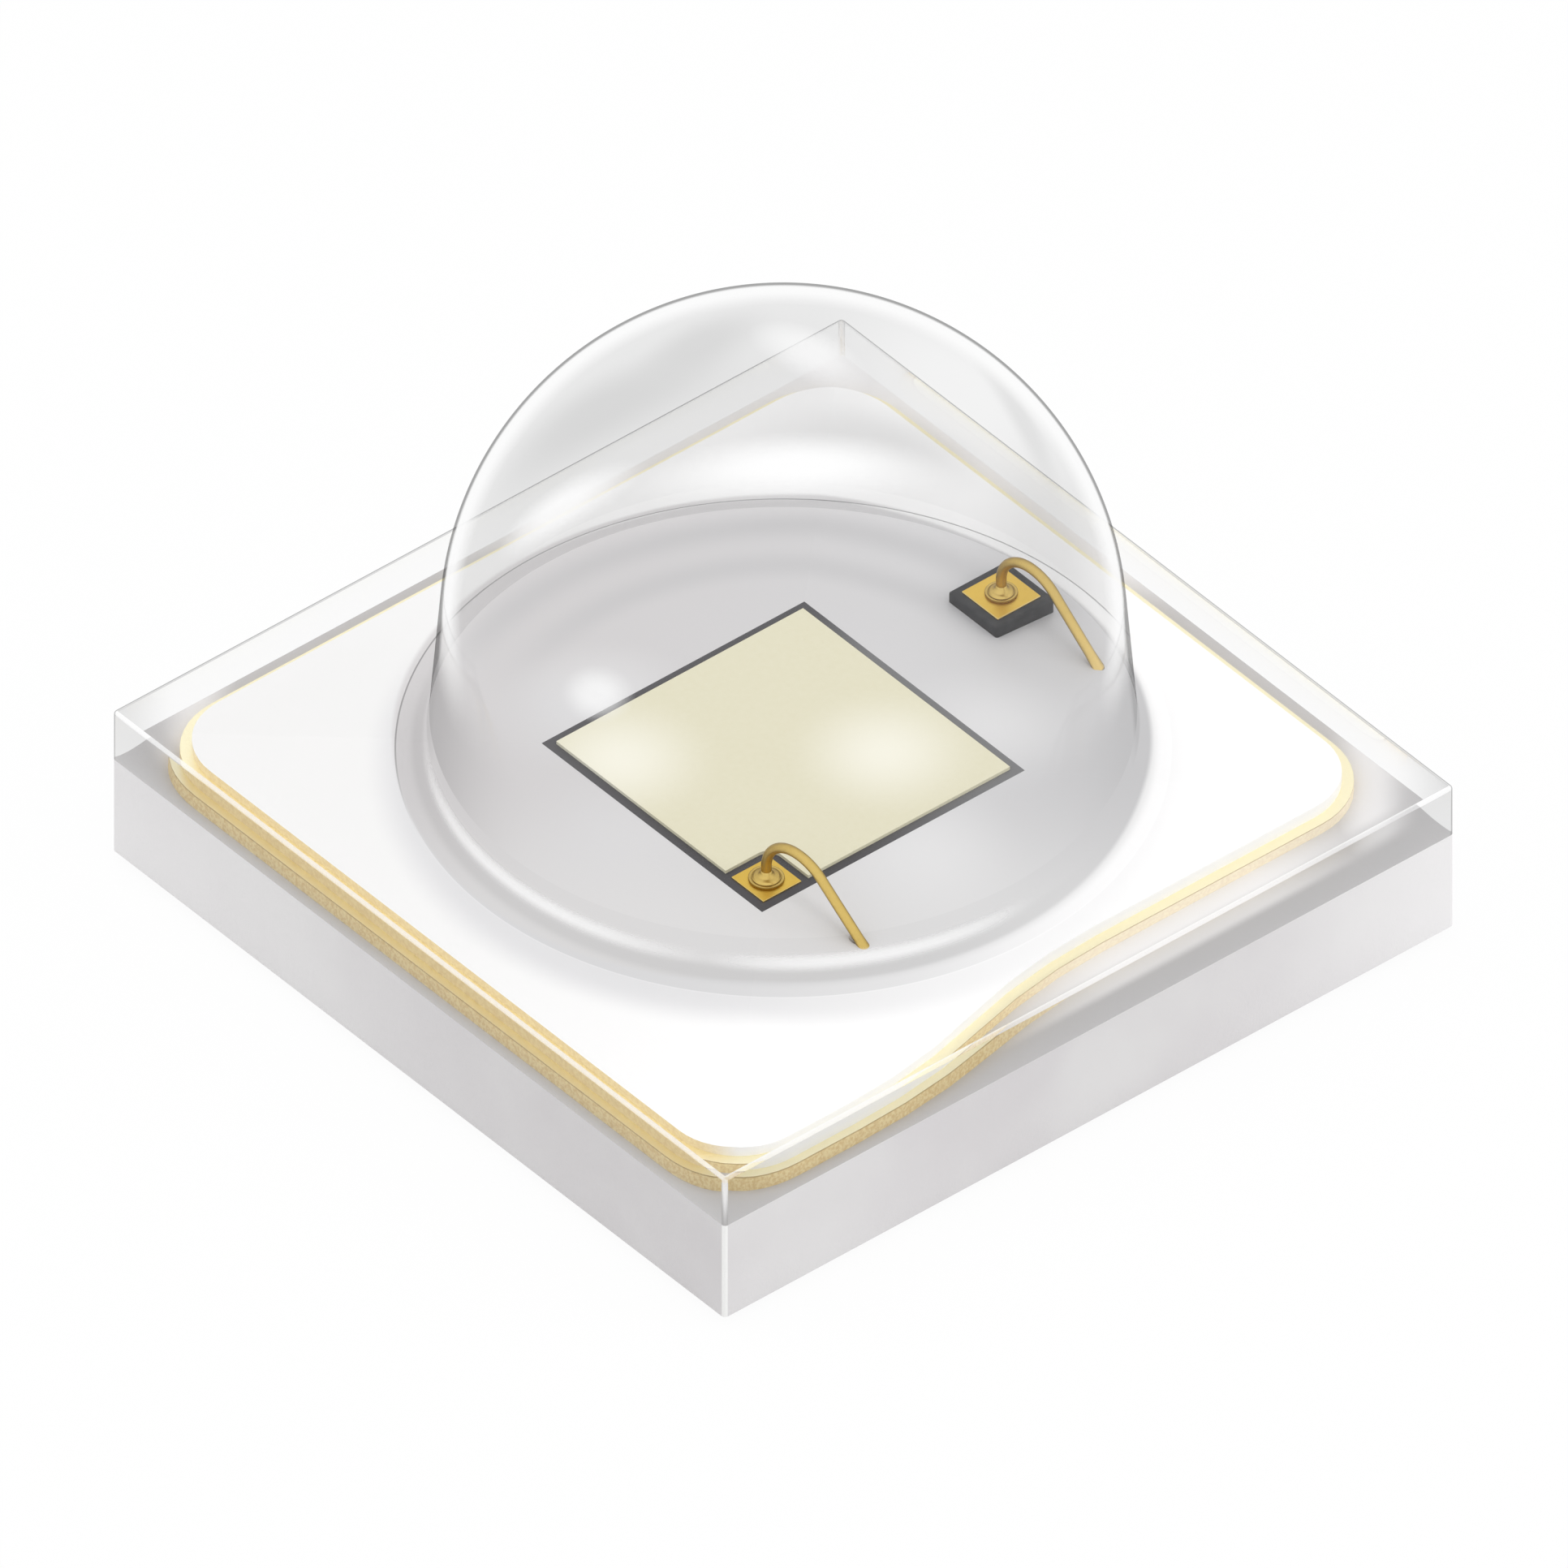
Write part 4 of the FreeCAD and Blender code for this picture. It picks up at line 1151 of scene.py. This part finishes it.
@dataclass
class Lens:
    """Clear overmould: a slab with softly rounded edges, and a dome with a filleted foot."""

    finishes: dict[Zone, Finish]
    slab_thickness: float = 0.195 * MM
    dome_radius: float = 1.084 * MM
    centre_height: float = 0.5 * MM
    flare: float = 4.5
    foot_fillet: float = 0.1 * MM
    line_width: float = 0.005 * MM
    corner_radius: float = 0.015 * MM
    rim_radius: float = 0.012 * MM
    sunk: float = 0.004 * MM
    side_steps: int = 64
    corner_steps: int = 5
    crown_steps: int = 64
    skirt_steps: int = 8
    foot_steps: int = 16

    def stations(self, half: float) -> list[Station]:
        """Places round the outline, against the clock from the middle of the -Y side.

        Args:
            half: half the side of the slab.

        Returns:
            The places, evenly turned along each side and close together at each corner.
        """
        inner = half - self.corner_radius
        limit = math.atan2(inner, half)
        found = []
        for quarter in range(4):
            turn = quarter * math.pi / 2
            cosine, sine = round(math.cos(turn)), round(math.sin(turn))
            for step in range(self.side_steps + 1):
                angle = limit * (2 * step / self.side_steps - 1)
                along = half * math.tan(angle)
                centre = (inner * cosine - along * sine, inner * sine + along * cosine)
                found.append(Station(centre, (cosine, sine)))
            corner = (inner * (cosine - sine), inner * (sine + cosine))
            for step in range(1, self.corner_steps):
                angle = turn + math.pi / 2 * step / self.corner_steps
                found.append(Station(corner, (math.cos(angle), math.sin(angle))))
        return found

    def dome_profile(self, level: float) -> list[Pair]:
        """Half section of the dome, from its top to the outer end of its foot.

        Args:
            level: the height of the slab's upper face.

        Returns:
            Pairs of a radius and a height.
        """
        flare = math.radians(self.flare)
        middle = level + self.centre_height
        crown = arc((0.0, middle), self.dome_radius, 90.0, self.flare, self.crown_steps)
        turn_r, turn_z = crown[-1]
        foot_z = level + self.foot_fillet
        rise = self.foot_fillet - (foot_z - turn_z) * math.sin(flare)
        foot_r = turn_r + rise / math.cos(flare)
        foot = arc((foot_r, foot_z), self.foot_fillet, 180.0 + self.flare, 270.0, self.foot_steps)
        return crown[1:] + stretch(crown[-1], foot[0], self.skirt_steps) + foot[1:]

    def build(self) -> Object:
        """Make the closed shell.

        Returns:
            The lens, in place of its solid.
        """
        low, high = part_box("silicone_lens")
        base = low.z
        level = base + self.slab_thickness
        stations = self.stations(high.x)
        count = len(stations)
        points = [Vector((0.0, 0.0, high.z))]
        rings: list[Zone] = []

        def add_ring(places: Sequence[Pair], height: float, zone: Zone) -> None:
            """Add one ring of points, and the zone of the faces above it."""
            points.extend(Vector((x, y, height)) for x, y in places)
            rings.append(zone)

        outline = [station.at(self.corner_radius) for station in stations]
        turns = [math.atan2(y, x) for x, y in outline]
        profile = self.dome_profile(level)
        foot_top = level + self.foot_fillet
        for radius, height in profile:
            zone = Zone.FOOT if height < foot_top else Zone.DOME
            add_ring(turned_ring(radius, turns), height, zone)
        rim = profile[-1][0] + self.line_width
        add_ring(turned_ring(rim, turns), level, Zone.FOOT_LINE)
        for step in range(self.corner_steps + 1):
            angle = math.pi / 2 * step / self.corner_steps
            reach = self.corner_radius - self.rim_radius * (1 - math.sin(angle))
            height = level - self.rim_radius * (1 - math.cos(angle))
            zone = Zone.EDGE if step else Zone.TOP
            add_ring([station.at(reach) for station in stations], height, zone)
        add_ring(outline, base, Zone.SIDE)
        sunk = self.corner_radius - self.sunk
        add_ring([station.at(sunk) for station in stations], base - self.sunk, Zone.SIDE)
        faces = [(0, 1 + index, 1 + (index + 1) % count) for index in range(count)]
        zones = [Zone.DOME.value] * count
        corner = {index for index, station in enumerate(stations) if 0 not in station.outward}
        for zone in rings[1:]:
            for index in range(count):
                rounded = zone is Zone.SIDE and not corner.isdisjoint((index, (index + 1) % count))
                zones.append(Zone.EDGE.value if rounded else zone.value)
        faces += ring_faces(1, len(rings), count)
        faces.append(tuple(range(len(points) - count, len(points))))
        zones.append(Zone.SIDE.value)
        finishes = [self.finishes[zone] for zone in Zone]
        lens = build_mesh("clear_lens", points, faces, finishes, zones)
        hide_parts("silicone_lens")
        return lens


@dataclass
class BondWire:
    """Drawn gold wire from a ball bond, over a loop, down to the conductor under the white fill."""

    name: str
    node: str
    pad: str
    ball_radius: float
    rise: float
    bend: float
    crown: float
    slope: float
    turn: float = 6.5
    radius: float = 0.017 * MM
    ball_height: float = 0.017 * MM
    lip: float = 0.0035 * MM
    groove_wall: float = 0.0015 * MM
    end_squash: float = 0.45
    end_steps: int = 3
    groove_share: float = 0.8
    boss_share: float = 0.72
    climb_steps: int = 18
    fall_steps: int = 12
    run_steps: int = 8
    sides: int = 24

    def path(self, drop: float) -> list[Pair]:
        """Middle line of the wire.

        Args:
            drop: how far the conductor lies under the ball's base.

        Returns:
            Pairs of a distance along the run and a height over the ball's base.
        """
        stem = [(0.0, self.ball_height * 0.6), (0.0, self.rise * 0.7)]
        climb = arc((self.bend, self.rise), self.bend, 180.0, 90.0, self.climb_steps)
        centre = (self.bend, self.rise + self.bend - self.crown)
        fall = arc(centre, self.crown, 90.0, 90.0 - self.slope, self.fall_steps)
        start_s, start_h = fall[-1]
        end_h = self.radius * 0.5 - drop
        end_s = start_s + (start_h - end_h) / math.tan(math.radians(self.slope))
        return stem + climb + fall[1:] + stretch(fall[-1], (end_s, end_h), self.run_steps)

    def ball_profile(self) -> list[Pair]:
        """Half section of the ball bond: pressed disc, groove, boss and neck.

        Returns:
            Pairs of a distance from the ball's axis and a height over its base.
        """
        height, lip = self.ball_height, self.lip
        disc = self.ball_radius - lip
        groove = self.ball_radius * self.groove_share
        boss = self.ball_radius * self.boss_share
        collar = self.radius * 1.5
        return [
            (disc, 0.0),
            *arc((disc, lip), lip, -90.0, 0.0, 4)[1:],
            *arc((disc, height * 0.62 - lip), lip, 0.0, 90.0, 4),
            (groove + self.groove_wall, height * 0.6),
            (groove, height * 0.46),
            (boss + self.groove_wall, height * 0.6),
            (boss, height * 0.84),
            (boss - 0.003 * MM, height * 0.94),
            (collar + 0.004 * MM, height),
            (collar, height * 1.1),
            (self.radius * 1.12, height * 1.75),
            (self.radius * 0.98, height * 2.2),
        ]

    def build(self) -> Object:
        """Make the wire with its ball.

        Returns:
            The wire, in place of its solid.
        """
        low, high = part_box(self.pad)
        foot = Vector(((low.x + high.x) / 2, (low.y + high.y) / 2, high.z))
        drop = foot.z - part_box("wire_pad")[1].z
        turn = math.radians(self.turn - 90.0)
        ahead = Vector((math.cos(turn), math.sin(turn), 0.0))
        across = Vector((-ahead.y, ahead.x, 0.0))
        upward = Vector((0.0, 0.0, 1.0))
        angles = [2 * math.pi * side / self.sides for side in range(self.sides)]
        points: list[Vector] = []
        line = self.path(drop)
        for index, (run, height) in enumerate(line):
            before = line[max(index - 1, 0)]
            after = line[min(index + 1, len(line) - 1)]
            along = (ahead * (after[0] - before[0]) + upward * (after[1] - before[1])).normalized()
            over = across.cross(along)
            left = (len(line) - 1 - index) / self.end_steps
            squash = min(1.0, self.end_squash + (1 - self.end_squash) * left)
            middle = foot + ahead * run + upward * height
            for angle in angles:
                reach = over * (math.cos(angle) * squash) + across * (math.sin(angle) / squash)
                points.append(middle + reach * self.radius)
        faces = self._closed(0, len(line))
        start = len(points)
        profile = self.ball_profile()
        for reach, height in profile:
            for angle in angles:
                offset = ahead * math.cos(angle) + across * math.sin(angle)
                points.append(foot + offset * reach + upward * height)
        faces += self._closed(start, len(profile))
        rings = (self.ball_radius * self.groove_share, self.ball_radius)
        finish = BondGold(f"{self.name}_gold", tuple(foot), rings, foot.z + self.ball_height)
        wire = build_mesh(self.name, points, faces, (finish,))
        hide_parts(self.node)
        return wire

    def _closed(self, start: int, count: int) -> list[Face]:
        """Faces between rings of points, with both ends closed.

        Args:
            start: the number of the first ring's first point.
            count: how many rings there are.

        Returns:
            The numbers of each face's points.
        """
        last = start + (count - 1) * self.sides
        ends = [tuple(range(first, first + self.sides)) for first in (start, last)]
        return ring_faces(start, count, self.sides) + ends


@dataclass
class SoftBlock:
    """Small square plate with softened edges, in the box of the solid that it stands for."""

    name: str
    node: str
    slot: str
    finish: Finish
    softness: float
    base_share: float = 0.1
    sharp_angle: float = 40.0

    def build(self) -> Object:
        """Make the plate.

        Returns:
            The plate, in place of its solid.
        """
        low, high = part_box(self.node)
        shape = bmesh.new()
        size = Matrix.Diagonal((*(high - low), 1.0))
        bmesh.ops.create_cube(shape, size=1.0, matrix=Matrix.Translation((low + high) / 2) @ size)
        base = low.z + self.base_share * (high.z - low.z)
        edges = [edge for edge in shape.edges if max(vertex.co.z for vertex in edge.verts) > base]
        bmesh.ops.bevel(
            shape, geom=edges, offset=self.softness, segments=3, profile=0.6, affect="EDGES"
        )
        mesh = bpy.data.meshes.new(self.name)
        shape.to_mesh(mesh)
        shape.free()
        mesh.materials.append(self.finish.material())
        mesh.polygons.foreach_set("use_smooth", [True] * len(mesh.polygons))
        mesh.set_sharp_from_angle(angle=math.radians(self.sharp_angle))
        made = link_object(self.name, mesh)
        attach(made, "root")
        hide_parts(self.node)
        return made


@dataclass
class DressedSolid:
    """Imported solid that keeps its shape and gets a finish, its flat sides evenly lit."""

    node: str
    finish: Finish

    def build(self) -> Object:
        """Give the solid its finish.

        Returns:
            The solid, which keeps its shape.
        """
        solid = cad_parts[self.node]
        if not solid.material_slots:
            solid.data.materials.append(None)
        for place in solid.material_slots:
            place.material = self.finish.material()
        evened = solid.modifiers.new("even_normals", "WEIGHTED_NORMAL")
        evened.keep_sharp = True
        return solid


@dataclass
class Softbox:
    """Lamp with a wide face, that stands off and is turned to the part."""

    name: str
    place: Point
    length: float
    width: float
    level: float
    turn: float = 0.0

    def build(self) -> Object:
        """Make the lamp, with a power that gives its level on a white face turned to it.

        Returns:
            The lamp.
        """
        lamp = bpy.data.lights.new(self.name, "AREA")
        lamp.shape = "RECTANGLE"
        lamp.size, lamp.size_y = self.length, self.width
        lamp.energy = self.level * (math.pi * Vector(self.place).length) ** 2
        made = link_object(self.name, lamp)
        made.location = self.place
        aim = Vector(self.place).to_track_quat("Z", "Y")
        made.rotation_euler = (aim @ Quaternion((0, 0, 1), math.radians(self.turn))).to_euler()
        made.visible_camera = made.visible_glossy = False
        return made


@dataclass
class Studio:
    """Pale floor, white surroundings and soft lamps."""

    floor_half: float = 0.15
    floor_gap: float = 2e-6
    floor_colour: Colour = (0.86, 0.86, 0.86)
    floor_glow: float = 0.95
    ambient: float = 0.84

    def floor(self) -> Object:
        """Make the floor, just under the part.

        Returns:
            The floor, which is not part of the object.
        """
        half, height = self.floor_half, -self.floor_gap
        signs = ((-1, -1), (1, -1), (1, 1), (-1, 1))
        corners = [(x * half, y * half, height) for x, y in signs]
        mesh = bpy.data.meshes.new("floor")
        mesh.from_pydata(corners, [], [(0, 1, 2, 3)])
        material = bpy.data.materials.new("pale_floor")
        material.use_nodes = True
        graph = Graph(material.node_tree)
        diffuse = graph.first("ShaderNodeBsdfDiffuse", {"Color": self.floor_colour})
        white = graph.first("ShaderNodeEmission", {"Strength": 1.0})
        seen = graph.ray("Is Camera Ray", "Is Glossy Ray", "Is Transmission Ray")
        surface = graph.layer(seen * self.floor_glow, diffuse, white)
        graph.node("ShaderNodeOutputMaterial", {"Surface": surface})
        mesh.materials.append(material)
        made = link_object("floor", mesh)
        return made

    def surroundings(self) -> None:
        """White world for what the camera sees, and a softer one for what lights the part."""
        world = bpy.data.worlds.new("studio")
        world.use_nodes = True
        bpy.context.scene.world = world
        graph = Graph(world.node_tree)
        levels = (self.ambient, 1.0)
        soft, white = (
            graph.first("ShaderNodeBackground", {"Color": grey(1.0), "Strength": level})
            for level in levels
        )
        seen = graph.ray("Is Camera Ray", "Is Glossy Ray", "Is Transmission Ray")
        graph.node("ShaderNodeOutputWorld", {"Surface": graph.layer(seen, soft, white)})

    def lamps(self) -> list[Object]:
        """Make the lamps.

        Returns:
            The lamps, the brightest one first.
        """
        boxes = (
            Softbox("key", (-0.001, -0.001, 0.022), 0.036, 0.007, 0.22, -40.0),
            Softbox("fill", (0.012, -0.016, 0.01), 0.014, 0.014, 0.2),
            Softbox("back", (-0.012, 0.008, 0.012), 0.012, 0.012, 0.1),
        )
        return [box.build() for box in boxes]


@dataclass
class Viewpoint:
    """Camera of the picture: level lines stay parallel, as it looks down on one corner."""

    azimuth: float = -40.0
    elevation: float = 40.0
    pixels_per_mm: float = 391.3
    picture: float = 1932.0
    right_of_centre: float = 1.0
    below_centre: float = 44.0
    distance: float = 0.02
    clip: Pair = (0.001, 1.0)

    def build(self, centre: Vector) -> Object:
        """Make the camera.

        Args:
            centre: the middle of the slab's upper face, which the picture's middle lies near.

        Returns:
            The camera.
        """
        azimuth, elevation = math.radians(self.azimuth), math.radians(self.elevation)
        level = math.cos(elevation)
        back = Vector((math.sin(azimuth) * level, -math.cos(azimuth) * level, math.sin(elevation)))
        aim = (-back).to_track_quat("-Z", "Y")
        pixel = MM / self.pixels_per_mm
        right, above = aim @ Vector((1, 0, 0)), aim @ Vector((0, 1, 0))
        middle = centre + (right * self.right_of_centre - above * self.below_centre) * pixel
        data = bpy.data.cameras.new("camera")
        data.type = "ORTHO"
        data.ortho_scale = self.picture * pixel
        data.clip_start, data.clip_end = self.clip
        camera = link_object("camera", data)
        camera.rotation_mode = "QUATERNION"
        camera.rotation_quaternion = aim
        camera.location = middle + back * self.distance
        bpy.context.scene.camera = camera
        return camera


def solid_finishes() -> dict[str, Finish]:
    """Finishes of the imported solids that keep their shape.

    Returns:
        The finish of each node.
    """
    pad_gold = Grained("pad_gold", (0.9, 0.66, 0.28), (0.8, 0.55, 0.2), 30.0, 0.4, 1.0)
    light, dark = (0.92, 0.7, 0.32), (0.84, 0.6, 0.24)
    conductor_gold = Grained("conductor_gold", light, dark, 40.0, 0.35, 1.0)
    copper = Grained("via_copper", (0.78, 0.46, 0.3), (0.66, 0.36, 0.22), 30.0, 0.4, 1.0)
    plate_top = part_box("converter_plate")[1].z
    return {
        "ceramic_substrate": FiredCeramic("fired_ceramic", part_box("ceramic_substrate")[1].x),
        "cathode_solder_pad": pad_gold,
        "anode_solder_pad": pad_gold,
        "thermal_pad": pad_gold,
        "cathode_via": copper,
        "anode_via": copper,
        "reflector_frame": GoldPlating("ring_gold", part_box("reflector_frame")[1].z),
        "die_pad": conductor_gold,
        "wire_pad": conductor_gold,
        "reflector_coat": WhiteFill(
            "white_fill",
            # Spots of painted light on the fill, one strong and three weak.
            ((-0.29 * MM, 0.575 * MM, plate_top),),
            (
                (0.04 * MM, -0.63 * MM, plate_top),
                (-0.66 * MM, 0.05 * MM, plate_top),
                (0.6 * MM, -0.29 * MM, plate_top),
            ),
        ),
        "die_attach": Grained("solder_layer", (0.7, 0.7, 0.72), (0.55, 0.55, 0.57), 40.0, 0.5, 1.0),
        "led_die": DarkChip("chip_dark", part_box("led_die")[1].x),
        "converter_plate": PhosphorPlate(
            "cream_phosphor",
            # Two spots of painted light on the phosphor.
            ((-0.41 * MM, 0.31 * MM, plate_top), (0.25 * MM, -0.2 * MM, plate_top)),
        ),
        "diode_attach": Grained("silver_glue", (0.62, 0.62, 0.62), (0.5, 0.5, 0.5), 60.0, 0.5, 0.6),
    }


def modelled_pieces() -> list[Union[Lens, BondWire, SoftBlock]]:
    """Pieces that are modelled again over their solids.

    Returns:
        The pieces, in the order that they are built.
    """
    # Bond pads get a painted highlight on their bevels.
    pad_gold = BondGold(
        "bond_pad_gold", colour=(0.88, 0.6, 0.12), painted_bevel_highlight_share=0.8, shade_from=0.4, roughness=0.4
    )
    silicon = Grained(
        "dark_silicon", (0.06, 0.06, 0.063), (0.04, 0.04, 0.043), 35.0, 0.55, specular=0.25
    )
    low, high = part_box("silicone_lens")
    slab_top = low.z + Lens.slab_thickness
    middle = (0.0, 0.0, slab_top + Lens.centre_height)
    # Long patches of painted highlight on the dome.
    painted_highlight_streaks = (
        Streak(-124.0, 67.8, -2.0, 0.55, 0.13, 1.0),
        Streak(165.0, 44.8, 67.0, 0.34, 0.1, 0.85),
        Streak(0.0, 84.5, -172.6, 0.26, 0.14, 0.65),
        Streak(-165.8, 22.0, 25.0, 0.15, 0.1, 0.7),
    )
    # Patches of painted shade on the dome.
    painted_shade_places = (
        Streak(143.5, 57.0, 90.0, 0.55, 0.22, 1.0),
        Streak(112.6, 73.8, -24.0, 0.3, 0.18, 0.9),
        Streak(-84.8, 67.6, -43.0, 0.45, 0.16, 0.8),
        Streak(-62.9, 33.7, 0.0, 0.34, 0.34, 0.7),
        Streak(-33.6, 45.2, 30.0, 0.32, 0.1, 0.6),
    )
    # A patch of painted light that clears the dome.
    painted_bright_places = (Streak(-35.0, 59.0, 0.0, 0.5, 0.5, 1.0),)
    return [
        Lens(
            {
                Zone.DOME: ClearDome("clear_dome", middle, painted_highlight_streaks, painted_shade_places, painted_bright_places),
                Zone.TOP: ClearSlab("clear_slab_top", 0.97, high.x),
                # The sides' darker tint is painted shade on what is seen through them.
                Zone.SIDE: ClearSlab("clear_slab_side", 0.78, high.x * 2),
                Zone.EDGE: ClearEdge("clear_slab_edge"),
                Zone.FOOT_LINE: FootLine("foot_line"),
                Zone.FOOT: ClearFoot("clear_foot", slab_top),
            }
        ),
        SoftBlock("diode_body", "esd_diode", "diode_silicon", silicon, 0.01 * MM),
        SoftBlock("diode_pad", "diode_bond_pad", "bond_metal", pad_gold, 0.0035 * MM),
        SoftBlock("chip_pad", "chip_bond_pad", "bond_metal", pad_gold, 0.002 * MM),
        BondWire(
            "chip_wire", "chip_bond_wire", "chip_bond_pad",
            ball_radius=0.058 * MM, rise=0.055 * MM, bend=0.125 * MM, crown=0.165 * MM, slope=42.5,
        ),
        BondWire(
            "diode_wire", "diode_bond_wire", "diode_bond_pad",
            ball_radius=0.053 * MM, rise=0.06 * MM, bend=0.118 * MM, crown=0.155 * MM, slope=45.0,
        ),
    ]


def main() -> None:
    """Dress the part, set up the studio, and report each piece."""
    logging.basicConfig(level=logging.INFO, format="%(message)s")
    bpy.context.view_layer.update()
    bpy.context.scene.view_settings.view_transform = "Standard"
    for node, finish in solid_finishes().items():
        DressedSolid(node, finish).build()
        LOG.info("dressed %s with %s", node, finish.name)
    for piece in modelled_pieces():
        made = piece.build()
        LOG.info("modelled %s, %d faces", made.name, len(made.data.polygons))
    studio = Studio()
    studio.floor()
    studio.surroundings()
    for lamp in studio.lamps():
        LOG.info("lamp %s", lamp.name)
    slab_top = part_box("silicone_lens")[0].z + Lens.slab_thickness
    Viewpoint().build(Vector((0.0, 0.0, slab_top)))


if __name__ == "__main__":
    main()
